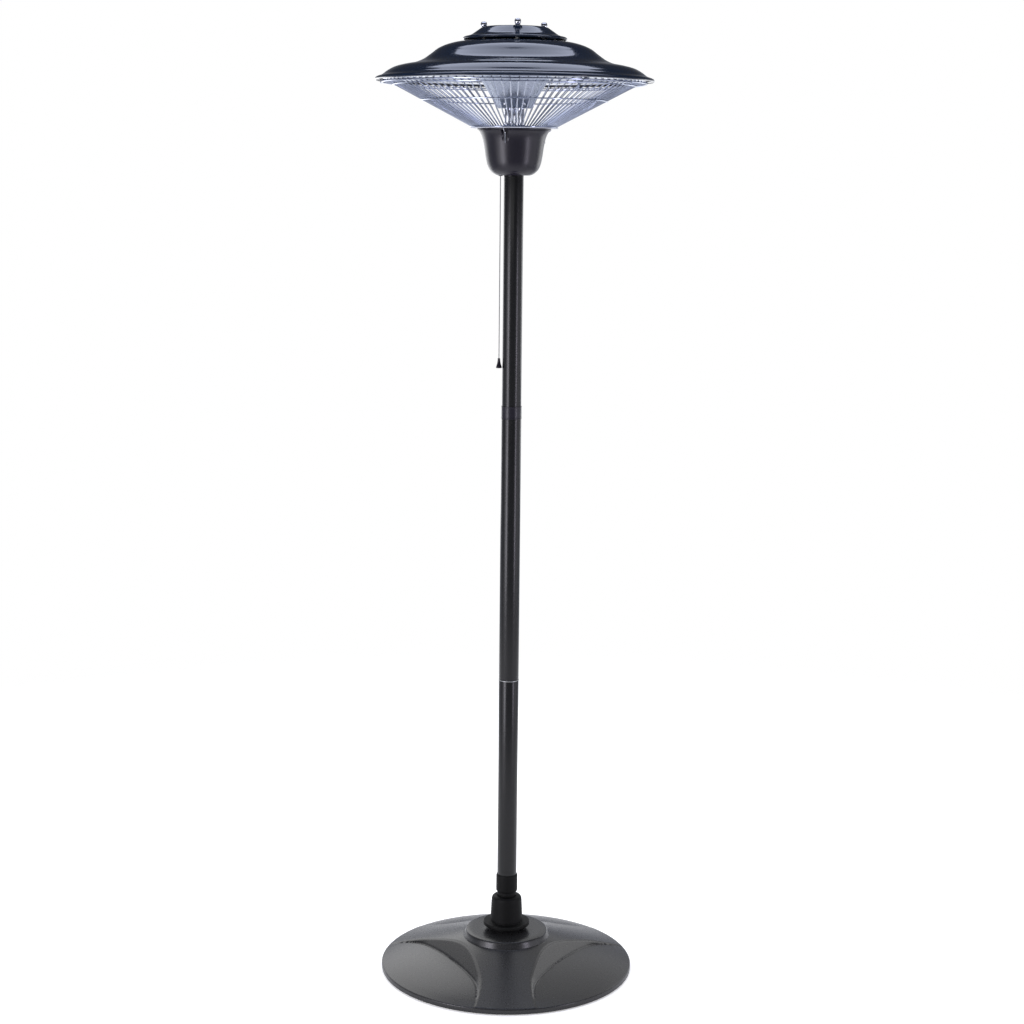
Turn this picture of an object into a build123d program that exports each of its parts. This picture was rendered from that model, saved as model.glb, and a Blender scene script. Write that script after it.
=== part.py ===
"""Free-standing infrared patio heater: domed base, three-piece pole and shaded lamp head.

Millimetres, +Z up, origin on the floor under the middle of the pole. The front faces -Y.
"""

from build123d import *
import os
from math import atan, cos, degrees, pi, radians, sin, tan

os.makedirs("parts", exist_ok=True)

# ---------------------------------------------------------------- driving dimensions
# Roundness: flat panels round a form, and chords in an arc of its outline.
large_panels = 24
inner_panels = 16
small_panels = 8
fastener_panels = 6
arc_chords = 2

# Fits, shared by every pair that seats, slides or turns.
seat_gap = 0.15
pin_gap = 0.06

# Base: a moulded dome over a heavy steel plate, with three sunk petals.
base_radius = 286
foot_height = 3
foot_radius = 11
foot_inset = 24
foot_count = 6
foot_angle = 30
foot_stem_radius = 4
foot_stem_sink = 2
rim_height = 16
rim_bevel = 3
rim_wall = 3
dome_middle_inset = 96
dome_middle_height = 41
hub_radius = 92
hub_height = 90
hub_skirt_reach = 10
hub_skirt_drop = 18
petal_count = 3
petal_angle = 90
petal_top_reach = 23
petal_top_drop = 24
petal_wall_slope_angle = 40
petal_floor_rim_height = 14.6
petal_floor_middle_inset = 81
petal_floor_middle_height = 32
petal_floor_end_reach = 8
petal_floor_end_height = 45
cover_floor_wall = 3.5
hub_wall = 6
plate_thickness = 8
plate_gap = 0.8
grommet_radius = 5
grommet_flange = 1.5
lead_radius = 3.5

# Pole: a welded socket in the base, then three tubes joined by couplers.
socket_radius = 21.5
socket_wall = 2
socket_flange_radius = 48
socket_flange_thickness = 4
socket_bolt_circle = 35
socket_bolt_radius = 4
socket_bolt_head = 5
socket_bolt_count = 4
socket_bolt_angle = 45
pole_radius = 22
upper_pole_radius = 21.5
pole_wall = 1.5
neck_height = 10
sleeve_length = 41
sleeve_wall = 2.3
sleeve_web_rise = 17
sleeve_web = 3
sleeve_chamfer = 2
lower_tube_length = 477
middle_tube_length = 591
upper_tube_reach = 500.3
ferrule_height = 27.5
joint_bead = 0.7
joint_bead_height = 2
coupler_reach = 60

# Collar that clamps the dome to the socket.
collar_neck_radius = 37.7
collar_flange_radius = 52.5
collar_neck_height = 11
collar_flange_height = 8
collar_foot_radius = 36.8
collar_top_radius = 34.7
collar_barrel_height = 49
collar_round = 12
collar_wall = 3

# Control housing: a bell under a round floor plate.
bell_height = 99.7
bell_wall = 2.5
bell_lip_radius = 79.5
bell_lip_height = 3
bell_flare_radius = 76
bell_flare_drop = 5
bell_throat_radius = 64.9
bell_throat_drop = 30.5
bell_waist_radius = 59.5
bell_waist_rise = 31.2
bell_foot_radius = 36
bell_boss_radius = 4.5
bell_boss_circle = 65
bell_boss_height = 12
bell_boss_count = 3
bell_boss_angle = 90
floor_plate_radius = 94.8
floor_plate_thickness = 1.5
bush_wall = 2.6
bush_flange_radius = 33
bush_flange = 3
bush_height = 26

# Three chrome tubes carry the lamp head and its leads.
tube_radius = 8
tube_wall = 1
tube_circle = 16
tube_panels = 12
tube_nut_radius = 11
tube_nut_height = 6
tube_tail = 10.5
tube_head = 3
lead_core_radius = 2.5
lead_tail = 4
lead_head = 18

# Lamp head: faceted centre reflector, dish, shade and vent cap. Points on the shade, dish and
# guard are a radius and a drop below the shade's top, and on the cap below the cap's top.
cone_sides = 12
cone_rise = 41
cone_height = 105
cone_low_radius = 36.5
cone_high_radius = 105
cone_wall = 0.8
cone_flange_radius = 113
cup_height = 14
cup_wall = 2
cone_screw_count = 6
cone_screw_radius = 2
cone_screw_head_radius = 4.3
cone_screw_head_height = 3
cone_screw_reach = 5
cone_screw_rise = 7.5
cone_screw_angle = 0
column_radius = 28
column_wall = 2
column_flange_radius = 86
column_flange_thickness = 3
shade_sheet = 1.2
shade_rise = 33.6
shade_hole_radius = 62
shade_shoulder_start = 118
shade_shoulder_end = (175, 21.8)
shade_ogee_end = (235, 49.3)
shade_skirt_end = (284, 70.2)
shade_flange_end = (296.4, 76.2)
shade_bead_end = (298.2, 81.7)
shade_vent_circle = 99
shade_vent_length = 20
shade_vent_width = 9
shade_vent_count = 8
dish_sheet = 0.8
dish_crest = (138, 19.6)
dish_shoulder = (180, 36.6)
dish_lip = (284, 77)
cap_rise = 31.4
cap_crown_radius = 64
cap_slope_start = (72.6, 2.6)
cap_slope_end = (94.9, 17.3)
cap_brim = (109.5, 21.6)
cap_bead_end = (111.6, 26.8)
cap_pad_radius = 8.5
stud_circle = 75
stud_angle = -86
stud_count = 3
stud_radius = 2.5
spacer_radius = 5
stud_nut_radius = 4.6
stud_nut_height = 4
acorn_radius = 6.3
acorn_base_radius = 5
acorn_base_height = 1.4

# Lamps: three quartz tubes in a triangle inside the dish.
lamp_count = 3
lamp_angle = 90
lamp_circle = 125
lamp_drop = 56.6
lamp_radius = 5
lamp_wall = 1
lamp_pinch = 8
filament_radius = 1.2
holder_reach = 140
holder_length = 16
holder_width = 16
holder_height = 13
holder_socket = 6
bar_width = 12
bar_thickness = 1.2
standoff_radius = 4
standoff_drop = 1.6
standoff_reach = 55

# Wire guard: radial wires, straight with one bend, welded on four rings.
wire_count = 96
wire_radius = 1.4
wire_sides = 3
ring_size = 3
ring_panels = 24
weld_sink = 0.1
guard_low_radius = 92.4
guard_middle_radius = 199
guard_bend = (262, 88.3)
guard_top = (285, 83.8)
hook_count = 3
hook_angle = 180
hook_width = 8
hook_thickness = 1.2
clip_count = 3
clip_angle = 254
clip_width = 2
clip_thickness = 1.4
clip_drop = 29.5

# Pull switch, worked by a cord through the floor of the bell.
cord_x = -28.5
cord_y = -4
cord_radius = 1
pull_travel = 12
lever_arm = 20
lever_pivot_rise = 45.2
lever_thickness = 5
lever_half_height = 4
lever_pin_radius = 1.5
hook_pin_radius = 1.5
slot_gap = 0.3
hook_cheek = 1.6
hook_bridge = 2
hook_drop = 6.5
stem_radius = 2
stem_length = 8
spring_wire = 0.8
spring_radius = 3.9
cord_reach = 395
knob_height = 21.5
knob_top_radius = 2.75
knob_waist_radius = 3.2
knob_low_radius = 6.45
knob_panels = 12
eyelet_radius = 3
eyelet_bore = 1.6
eyelet_flange_radius = 4.6
eyelet_flange = 1.4
chassis_y = 15
chassis_thickness = 1.5
chassis_half_width = 47
chassis_drop = 49.5
chassis_foot_width = 14
switch_low_x = -46
switch_high_x = -4
switch_rise = 11.5
switch_height = 25.5
switch_front = -14
switch_cover_thickness = 3
ear_thickness = 2
ear_gap = 1.5
rotor_x = -29.5
rotor_rise = 12.5
rotor_radius = 9.5
rotor_gap = 0.5
rotor_shaft_radius = 2.5
rotor_slot = 3
terminal_x = 14
terminal_y = -3
terminal_drop = 43.5
terminal_size = (28, 18, 16)
terminal_ways = 3
terminal_well_radius = 2.2
terminal_well_depth = 10
tilt_switch_radius = 4.5
tilt_switch_x = 5
tilt_switch_drop = 47.5
tilt_switch_height = 22
cutout_radius = 7
cutout_height = 5
cutout_place = (34, -34)

# ---------------------------------------------------------------- heights, from the floor up
plate_top_height = foot_height + plate_thickness
flange_top_height = plate_top_height + socket_flange_thickness
collar_flange_low = hub_height + collar_neck_height
collar_flange_high = collar_flange_low + collar_flange_height
collar_shoulder = collar_flange_high + collar_barrel_height
collar_top = collar_shoulder + collar_round
sleeve_low = collar_top + neck_height
sleeve_high = sleeve_low + sleeve_length
sleeve_web_low = sleeve_low + sleeve_web_rise
sleeve_web_high = sleeve_web_low + sleeve_web
lower_joint = sleeve_web_high + lower_tube_length
bead_top = lower_joint + joint_bead_height
upper_joint = bead_top + middle_tube_length
ferrule_top = upper_joint + ferrule_height
bell_bottom = ferrule_top + upper_tube_reach
bell_top = bell_bottom + bell_height
plate_top = bell_top + floor_plate_thickness
bush_top = bell_bottom + bell_wall + bush_flange
pole_end = bell_bottom + bell_wall + bush_height - 2
tube_low = bell_top - tube_tail
cone_low = (cone_low_radius, plate_top + cone_rise)
cone_high = (cone_high_radius, cone_low[1] + cone_height)
cone_screw_height = cone_low[1] + cone_screw_rise
shade_top = cone_high[1] + shade_rise
shade_under = shade_top - shade_sheet
lamp_height = shade_top - lamp_drop
cap_height = shade_top + cap_rise
cap_under = cap_height - shade_sheet
lever_pivot_height = bell_bottom + lever_pivot_rise
switch_low = lever_pivot_height + switch_rise
switch_high = switch_low + switch_height
rotor_height = switch_low + rotor_rise
knob_top = bell_bottom - cord_reach


# ---------------------------------------------------------------- shared helpers
def bar(radius, low, high, x=0, y=0, panels=small_panels):
    """An upright bar in flat panels, its corners on the circle."""
    return Pos(x, y, low) * extrude(RegularPolygon(radius, panels), high - low)


def hole(radius, low, high, x=0, y=0, panels=small_panels):
    """A cutter whose panels touch the circle from outside, so a bar of that radius passes."""
    return bar(radius / cos(pi / panels), low - 1, high + 1, x, y, panels)


def tube(outer, inner, low, high, x=0, y=0, panels=small_panels):
    """An upright tube in flat panels."""
    return bar(outer, low, high, x, y, panels) - hole(inner, low, high, x, y, panels)


def slab(low, high):
    """A box between two opposite corners."""
    size = [b - a for a, b in zip(low, high)]
    middle = [(a + b) / 2 for a, b in zip(low, high)]
    return Pos(*middle) * Box(*size)


def lying(shape):
    """Lays an upright piece along Y."""
    return Rot(-90, 0, 0) * shape


def pin(radius, low_y, high_y, x, height):
    """A round pin along Y."""
    return Pos(x, 0, height) * lying(bar(radius, low_y, high_y, panels=inner_panels))


def bearing(radius, low_y, high_y, x, height):
    """A cutter along Y in which a pin of that radius turns freely."""
    return Pos(x, 0, height) * lying(hole(radius, low_y, high_y, panels=inner_panels))


def carried(section, radius, panels):
    """A section in the XZ plane carried round the pole's axis in flat panels."""
    ring = RegularPolygon(radius, panels).wire()
    return sweep(section, path=ring, transition=Transition.RIGHT)


def turned(outline, panels=large_panels):
    """The same, from the corners of an outline as radius and height."""
    section = Plane.XZ * make_face(Polyline(*outline, close=True).edges())
    return carried(section, outline[0][0], panels)


def arc_run(start, heading, *points):
    """Arcs through the points, each tangent to the one before it."""
    edges = []
    for point in points:
        arc = TangentArc(start, point, tangent=heading)
        edges.append(arc)
        start, heading = point, arc % 1
    return edges


def chorded(edges):
    """Points along joined edges: the ends of each line and the chords of each arc."""
    points = []
    for edge in edges:
        steps = 1 if isinstance(edge, Line) else arc_chords
        points += [edge @ (k / steps) for k in range(steps)]
    points.append(edges[-1] @ 1)
    return [(point.X, point.Y) for point in points]


def strip(points, thickness):
    """Outline of a strip that follows the points, with mitred corners, on their right-hand side."""
    runs = [(Vector(b) - Vector(a)).normalized() for a, b in zip(points, points[1:])]
    sides = [Vector(run.Y, -run.X) for run in runs]
    other = []
    for point, before, after in zip(points, [sides[0], *sides], [*sides, sides[-1]]):
        corner = Vector(point) + (before + after) * (thickness / (1 + before.dot(after)))
        other.append((corner.X, corner.Y))
    return points + other[::-1]


def pressed(edges, thickness):
    """A sheet of even thickness that follows a path of radius and height round the axis."""
    return turned(strip(chorded(edges), thickness))


def under(top, *points):
    """Points given as a radius and a drop below the top, as radius and height."""
    return [(radius, top - drop) for radius, drop in points]


def around(shape, count, first=0):
    """Equal copies about the pole's axis; the first is turned by `first` degrees."""
    return [Rot(0, 0, first + 360 * k / count) * shape for k in range(count)]


def without(shape, tools):
    """The shape with every tool cut out of it."""
    for tool in tools:
        shape = shape - tool
    return shape


def save(name, shapes):
    """Writes one node; a list becomes a group of separate solids."""
    solids = shapes if isinstance(shapes, list) else [shapes]
    group = [solid for shape in solids for solid in shape.solids()]
    export_step(group[0] if len(group) == 1 else Compound(group), f"parts/{name}.step")


# ---------------------------------------------------------------- base
foot_circle = base_radius - foot_inset
petal_floor = [
    (base_radius + 0.5, petal_floor_rim_height),
    (base_radius - petal_floor_middle_inset, petal_floor_middle_height),
    (hub_radius + petal_floor_end_reach, petal_floor_end_height),
]


def petal_cut():
    """What is sunk into the dome: beyond a sloping wall and above a shallow floor."""
    run = 1 / tan(radians(petal_wall_slope_angle))
    high = 2 * hub_height
    far = 2 * base_radius
    low_x = hub_radius + petal_top_reach + (hub_height - petal_top_drop) * run
    high_x = low_x - high * run
    wall = Polyline((high_x, high), (far, high), (far, 0), (low_x, 0), close=True)
    beyond_wall = extrude(Plane.XZ * make_face(wall.edges()), far, both=True)
    above_floor = turned([*petal_floor, (petal_floor[-1][0], high), (petal_floor[0][0], high)])
    return beyond_wall & above_floor


def lead_axis(shape):
    """Turns an upright piece to lie outwards through the back of the rim."""
    return Pos(0, base_radius, foot_height + grommet_radius + 0.8) * Rot(-90, 0, 0) * shape


def base_cover():
    """Moulded dome, hollow over the plate, with three sunk petals between its ridges."""
    bore = socket_radius + seat_gap
    inside_rim = base_radius - rim_wall
    hollow = [(radius, height - cover_floor_wall) for radius, height in petal_floor[1:]]
    dome = turned(
        [
            (bore, hub_height),
            (hub_radius, hub_height),
            (hub_radius + hub_skirt_reach, hub_height - hub_skirt_drop),
            (base_radius - dome_middle_inset, dome_middle_height),
            (base_radius - rim_bevel, rim_height),
            (base_radius, rim_height - rim_bevel),
            (base_radius, foot_height),
            (inside_rim, foot_height),
            (inside_rim, plate_top_height),
            (inside_rim - cover_floor_wall, plate_top_height + plate_gap),
            *hollow,
            (hub_radius - hub_wall, hub_height - hub_wall),
            (bore, hub_height - hub_wall),
        ]
    )
    petals = around(petal_cut(), petal_count, petal_angle)
    pole_hole = hole(bore, 0, hub_height, panels=inner_panels)
    return without(dome - pole_hole - lead_axis(hole(grommet_radius, -12, 2)), petals)


def cable_grommet():
    """Rubber bush in the rim where a mains lead enters."""
    body = bar(grommet_radius, -rim_wall, 0)
    flange = bar(grommet_radius + 1, 0, grommet_flange)
    return lead_axis(body + flange - hole(lead_radius, -rim_wall, grommet_flange))


def base_plate():
    """Heavy steel plate that closes the base and keeps the heater upright."""
    radius = base_radius - rim_wall - plate_gap
    plate = bar(radius, foot_height, plate_top_height, panels=large_panels)
    low, high = foot_height, plate_top_height
    stem = hole(foot_stem_radius, low, high, foot_circle, panels=fastener_panels)
    bolt = hole(socket_bolt_radius, low, high, socket_bolt_circle, panels=fastener_panels)
    holes = around(stem, foot_count, foot_angle)
    holes += around(bolt, socket_bolt_count, socket_bolt_angle)
    holes.append(hole(socket_radius - socket_wall, low, high))
    half = grommet_radius + 2
    notch = slab((-half, radius - 2 * half, 0), (half, base_radius, plate_top_height + 1))
    return without(plate - notch, holes)


def rubber_feet():
    """Round feet, each with a stem pushed up into the plate."""
    pad = bar(foot_radius, 0, foot_height, foot_circle)
    stem_top = plate_top_height - foot_stem_sink
    stem = bar(foot_stem_radius, foot_height, stem_top, foot_circle, panels=fastener_panels)
    return around(pad + stem, foot_count, foot_angle)


def pole_socket():
    """Tube welded in a flange that is bolted on the plate."""
    bore = socket_radius - socket_wall
    socket = turned(
        [
            (bore, plate_top_height),
            (socket_flange_radius, plate_top_height),
            (socket_flange_radius, flange_top_height),
            (socket_radius, flange_top_height),
            (socket_radius, sleeve_web_low),
            (bore, sleeve_web_low),
        ],
        inner_panels,
    )
    low, high = plate_top_height, flange_top_height
    bolt = hole(socket_bolt_radius, low, high, socket_bolt_circle, panels=fastener_panels)
    return without(socket, around(bolt, socket_bolt_count, socket_bolt_angle))


def socket_bolts():
    """Hexagon bolts that hold the socket's flange to the plate."""
    place = Pos(socket_bolt_circle, 0, flange_top_height)
    head = bar(1.75 * socket_bolt_radius, 0, socket_bolt_head, panels=fastener_panels)
    reach = flange_top_height - foot_height
    shank = bar(socket_bolt_radius - pin_gap, -reach, 0, panels=fastener_panels)
    return around(place * (head + shank), socket_bolt_count, socket_bolt_angle)


def base_collar():
    """Moulded collar: a stepped foot on the hub and a tapered barrel with a round shoulder."""
    bore = socket_radius + seat_gap
    top_inside = (collar_top_radius - collar_round, collar_top)
    shoulder = TangentArc((collar_top_radius, collar_shoulder), top_inside, tangent=(0, 1))
    ceiling = collar_top - 2 * collar_wall
    body = turned(
        [
            (collar_neck_radius, hub_height),
            (collar_neck_radius, collar_flange_low),
            (collar_flange_radius, collar_flange_low),
            (collar_flange_radius, collar_flange_high),
            (collar_foot_radius, collar_flange_high),
            *chorded([shoulder]),
            (bore - 1, collar_top),
            (bore - 1, ceiling),
            (collar_top_radius - collar_round, ceiling),
            (collar_top_radius - collar_wall, collar_shoulder),
            (collar_foot_radius - collar_wall, hub_height),
        ],
        inner_panels,
    )
    return body - hole(bore, ceiling, collar_top, panels=inner_panels)


# ---------------------------------------------------------------- pole
def pole_tube(radius, low, high):
    """One steel tube of the pole."""
    return tube(radius, radius - pole_wall, low, high, panels=large_panels)


def pole_sleeve():
    """Moulded sleeve between the socket and the first tube, with a web between them."""
    radius = pole_radius + sleeve_wall
    bevel = radius - sleeve_chamfer
    web_bore = socket_radius - socket_wall
    pole_bore = (pole_radius + seat_gap) / cos(pi / inner_panels)
    return turned(
        [
            (bevel, sleeve_low),
            (radius, sleeve_low + sleeve_chamfer),
            (radius, sleeve_high - sleeve_chamfer),
            (radius - sleeve_chamfer / 2, sleeve_high),
            (pole_bore, sleeve_high),
            (pole_bore, sleeve_web_high),
            (web_bore, sleeve_web_high),
            (web_bore, sleeve_web_low),
            (socket_radius + seat_gap, sleeve_web_low),
            (socket_radius + seat_gap, sleeve_low),
        ],
        inner_panels,
    )


def pole_lower():
    """Lowest tube, from the sleeve to the first joint."""
    return pole_tube(pole_radius, sleeve_web_high, lower_joint)


def pole_middle():
    """Middle tube, between the two joints."""
    return pole_tube(pole_radius, bead_top, upper_joint)


def pole_upper():
    """Top tube, up into the control housing."""
    return pole_tube(upper_pole_radius, ferrule_top, pole_end)


def lower_coupler():
    """Inner bar with a thin bead that shows between the two tubes."""
    spigot = pole_radius - pole_wall - seat_gap
    low, high = lower_joint - coupler_reach, bead_top + coupler_reach
    bead = bar(pole_radius + joint_bead, lower_joint, bead_top, panels=inner_panels)
    return bar(spigot, low, high, panels=tube_panels) + bead


def upper_coupler():
    """Ferrule with raised rims, and a spigot into each of the tubes it joins."""
    low_spigot = pole_radius - pole_wall - seat_gap
    high_spigot = upper_pole_radius - pole_wall - seat_gap
    spigots = bar(low_spigot, upper_joint - coupler_reach, upper_joint, panels=tube_panels)
    spigots += bar(high_spigot, ferrule_top, ferrule_top + coupler_reach, panels=tube_panels)
    ferrule = bar(pole_radius + 0.3, upper_joint, ferrule_top, panels=inner_panels)
    for low in (upper_joint, ferrule_top - joint_bead_height):
        ferrule += bar(pole_radius + joint_bead, low, low + joint_bead_height, panels=inner_panels)
    return ferrule + spigots


# ---------------------------------------------------------------- control housing
tube_angles = [pi / 2 + 2 * pi * k / 3 for k in range(3)]
tube_places = [(tube_circle * cos(angle), tube_circle * sin(angle)) for angle in tube_angles]


def bell_housing():
    """Moulded bell with a floor, a lip, three screw bosses and holes for pole and cord."""
    inner = upper_pole_radius + seat_gap
    waist = (bell_waist_radius, bell_bottom + bell_waist_rise)
    throat = (bell_throat_radius, bell_top - bell_throat_drop)
    flare_end = (bell_flare_radius, bell_top - bell_flare_drop)
    floor = Line((inner, bell_bottom), (bell_foot_radius, bell_bottom))
    foot = TangentArc(floor @ 1, waist, tangent=(1, 0))
    barrel = Line(waist, throat)
    flare = TangentArc(throat, flare_end, tangent=barrel % 1)
    wall = pressed([floor, foot, barrel, flare], -bell_wall)
    lip_low = bell_top - bell_lip_height
    lip = turned(
        [
            (bell_flare_radius - bell_wall, bell_top),
            (bell_lip_radius, bell_top),
            (bell_lip_radius, lip_low),
            (bell_flare_radius, flare_end[1] - seat_gap),
            (bell_flare_radius - bell_wall, flare_end[1] - seat_gap),
        ]
    )
    low = bell_top - bell_boss_height
    boss = bar(bell_boss_radius, low, bell_top, bell_boss_circle, panels=fastener_panels)
    web = slab((bell_boss_circle, -1, low), (bell_flare_radius - bell_wall / 2, 1, bell_top))
    shell = wall + lip
    for copy in around(boss + web, bell_boss_count, bell_boss_angle):
        shell += copy
    pole_hole = hole(inner, bell_bottom, bush_top, panels=inner_panels)
    cord_hole = hole(eyelet_radius + seat_gap, bell_bottom, bush_top, cord_x, cord_y)
    return shell - pole_hole - cord_hole


def pole_bush():
    """Flanged bush that seats the top of the pole on the bell's floor."""
    low = bell_bottom + bell_wall
    bore = upper_pole_radius + seat_gap
    barrel_radius = bore + bush_wall
    bush = turned(
        [
            (bore, low),
            (bush_flange_radius, low),
            (bush_flange_radius, bush_top),
            (barrel_radius, bush_top),
            (barrel_radius, low + bush_height),
            (bore, low + bush_height),
        ],
        inner_panels,
    )
    pole_hole = hole(bore, low, low + bush_height, panels=inner_panels)
    return bush - pole_hole - hole(eyelet_radius + seat_gap, low, bush_top, cord_x, cord_y)


def guard_floor_plate():
    """Round steel plate on the bell: it carries the tubes, the guard and the controls."""
    plate = bar(floor_plate_radius, bell_top, plate_top, panels=large_panels)
    holes = [
        hole(tube_radius + seat_gap, bell_top, plate_top, x, y, tube_panels) for x, y in tube_places
    ]
    return without(plate, holes)


def control_chassis():
    """Bent steel plate that hangs under the floor plate and holds the controls."""
    back_y = chassis_y + chassis_thickness
    low = bell_top - chassis_drop
    back = slab((-chassis_half_width, chassis_y, low), (chassis_half_width, back_y, bell_top))
    inset = chassis_half_width - 6
    foot_y = chassis_y + chassis_foot_width
    foot = slab((-inset, chassis_y, bell_top - chassis_thickness), (inset, foot_y, bell_top))
    clear = tube_nut_radius + 1.5
    window = slab((-clear, chassis_y - 1, tube_low - 6), (clear, foot_y + 1, bell_top + 1))
    return back + foot - window


def support_tubes():
    """Three chrome tubes from the plate up into the head."""
    inner = tube_radius - tube_wall
    high = cone_low[1] + cup_wall + tube_head
    return [tube(tube_radius, inner, tube_low, high, x, y, tube_panels) for x, y in tube_places]


def tube_nuts():
    """Flat nuts that lock the tubes under the plate."""
    nuts = []
    for x, y in tube_places:
        low = bell_top - tube_nut_height
        body = bar(tube_nut_radius, low, bell_top, x, y, fastener_panels)
        nuts.append(body - hole(tube_radius, tube_low, bell_top, x, y, tube_panels))
    return nuts


def lamp_leads():
    """Insulated leads that run up inside the tubes."""
    high = cone_low[1] + cup_wall + lead_head
    low = tube_low - lead_tail
    return [bar(lead_core_radius, low, high, x, y, fastener_panels) for x, y in tube_places]


# ---------------------------------------------------------------- lamp head
def cone_radius(height):
    """Corner radius of the centre reflector's outside at a height."""
    share = (height - cone_low[1]) / (cone_high[1] - cone_low[1])
    return cone_low[0] + share * (cone_high[0] - cone_low[0])


def cone_screw_frame(angle):
    """Where a screw sits square on a flat side of the centre reflector."""
    share = cos(pi / cone_sides)
    lean = degrees(atan(share * (cone_high[0] - cone_low[0]) / (cone_high[1] - cone_low[1])))
    flat = share * cone_radius(cone_screw_height)
    return Rot(0, 0, angle) * Pos(flat, 0, cone_screw_height) * Rot(0, 90 + lean, 0)


half_side = 180 / cone_sides
cone_screw_angles = [cone_screw_angle + 360 * k / cone_screw_count for k in range(cone_screw_count)]


def cone_screw_holes():
    """Cutters for the screws through the reflector and the cup in it."""
    cutter = hole(cone_screw_radius, -cone_screw_reach, 1, panels=fastener_panels)
    return [cone_screw_frame(angle) * cutter for angle in cone_screw_angles]


def reflector_cone():
    """Twelve-sided centre reflector of polished sheet, with a flange at the top."""
    low, high = cone_low, cone_high
    body = turned(
        [
            low,
            high,
            (cone_flange_radius, high[1]),
            (cone_flange_radius, high[1] + cone_wall),
            (high[0] - 1.2 * cone_wall, high[1] + cone_wall),
            (low[0] - 1.2 * cone_wall, low[1]),
        ],
        cone_sides,
    )
    return without(Rot(0, 0, half_side) * body, cone_screw_holes())


def hub_cup():
    """Cup in the foot of the centre reflector that takes the three tubes."""
    gap = 1.2 * cone_wall + seat_gap
    low, high = cone_low[1], cone_low[1] + cup_height
    wall = turned(
        [
            (cone_radius(low) - gap, low),
            (cone_radius(high) - gap, high),
            (cone_radius(high) - gap - cup_wall, high),
            (cone_radius(low) - gap - cup_wall, low),
        ],
        cone_sides,
    )
    floor = bar(cone_radius(low) - gap - cup_wall / 2, low, low + cup_wall, panels=cone_sides)
    cup = Rot(0, 0, half_side) * (wall + floor)
    holes = [
        hole(tube_radius + seat_gap, low, low + cup_wall, x, y, tube_panels) for x, y in tube_places
    ]
    return without(cup, holes + cone_screw_holes())


def cone_screws():
    """Chrome screws round the foot of the centre reflector."""
    head = bar(cone_screw_head_radius, 0.02, cone_screw_head_height, panels=fastener_panels)
    shank = bar(cone_screw_radius - pin_gap, -cone_screw_reach, 1, panels=fastener_panels)
    return [cone_screw_frame(angle) * (head + shank) for angle in cone_screw_angles]


def stud_copies(shape):
    """Copies on the circle of the three long studs; the first is in front."""
    return around(Pos(stud_circle, 0, 0) * shape, stud_count, stud_angle)


def stud_holes(low, high):
    """Cutters for the long studs."""
    return stud_copies(hole(stud_radius + seat_gap, low, high, panels=fastener_panels))


def hub_column():
    """Steel tube from the cup up to a wide flange that carries the shade."""
    bore = column_radius - column_wall
    flange_low = shade_under - column_flange_thickness
    column = turned(
        [
            (bore, cone_low[1] + cup_wall),
            (column_radius, cone_low[1] + cup_wall),
            (column_radius, flange_low),
            (column_flange_radius, flange_low),
            (column_flange_radius, shade_under),
            (bore, shade_under),
        ],
        inner_panels,
    )
    return without(column, stud_holes(flange_low, shade_under))


def shade():
    """Spun steel shade: flat top, ogee skirt, flange and rolled bead."""
    start = (shade_shoulder_start, shade_top)
    top = Line((shade_hole_radius, shade_top), start)
    bends = under(shade_top, shade_shoulder_end, shade_ogee_end, shade_skirt_end)
    skirt = arc_run(start, (1, -0.05), *bends)
    flange_end, bead_end = under(shade_top, shade_flange_end, shade_bead_end)
    brim = Line(bends[-1], flange_end)
    bead = Line(flange_end, bead_end)
    body = pressed([top, *skirt, brim, bead], shade_sheet)
    half = shade_vent_width / 2
    vent = slab(
        (shade_vent_circle - shade_vent_length / 2, -half, shade_under - 1),
        (shade_vent_circle + shade_vent_length / 2, half, shade_top + 1),
    )
    vents = around(vent, shade_vent_count, stud_angle + 180 / shade_vent_count)
    return without(body, vents + stud_holes(shade_under, shade_top))


def reflector_dish():
    """Polished dish under the shade, resting on the centre reflector's flange."""
    start = (cone_high[0] + 1, cone_high[1] + cone_wall + dish_sheet)
    path = arc_run(start, (1, 1), *under(shade_top, dish_crest, dish_shoulder, dish_lip))
    return pressed(path, dish_sheet)


def vent_cap():
    """Pressed cap over the vents, with three flat pads for the nuts."""
    middle = cap_crown_radius / 2
    crown = Line((middle, cap_height), (cap_crown_radius, cap_height))
    bends = under(cap_height, cap_slope_start, cap_slope_end, cap_brim, cap_bead_end)
    starts = [(cap_crown_radius, cap_height), *bends]
    skirt = [Line(a, b) for a, b in zip(starts, bends)]
    body = pressed([crown, *skirt], shade_sheet)
    body += bar(middle + 1, cap_under, cap_height, panels=large_panels)
    pad_low = cap_height - cap_pad_radius
    for pad in stud_copies(bar(cap_pad_radius, pad_low, cap_height)):
        body += pad
    hollow = bar(cap_pad_radius - shade_sheet, pad_low - 1, cap_under)
    return without(body, stud_copies(hollow) + stud_holes(pad_low, cap_height))


def cap_spacers():
    """Tubes that hold the cap clear of the shade."""
    bore = hole(stud_radius + seat_gap, shade_top, cap_under, panels=fastener_panels)
    return stud_copies(bar(spacer_radius, shade_top, cap_under) - bore)


def cap_studs():
    """Long studs through flange, shade, spacer and cap."""
    low = shade_under - column_flange_thickness - stud_nut_height - 2
    high = cap_height + acorn_radius
    return stud_copies(bar(stud_radius, low, high, panels=fastener_panels))


def stud_nuts():
    """Hexagon nuts under the flange."""
    high = shade_under - column_flange_thickness
    low = high - stud_nut_height
    nut = bar(stud_nut_radius, low, high, panels=fastener_panels)
    return stud_copies(nut - hole(stud_radius, low, high, panels=fastener_panels))


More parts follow.
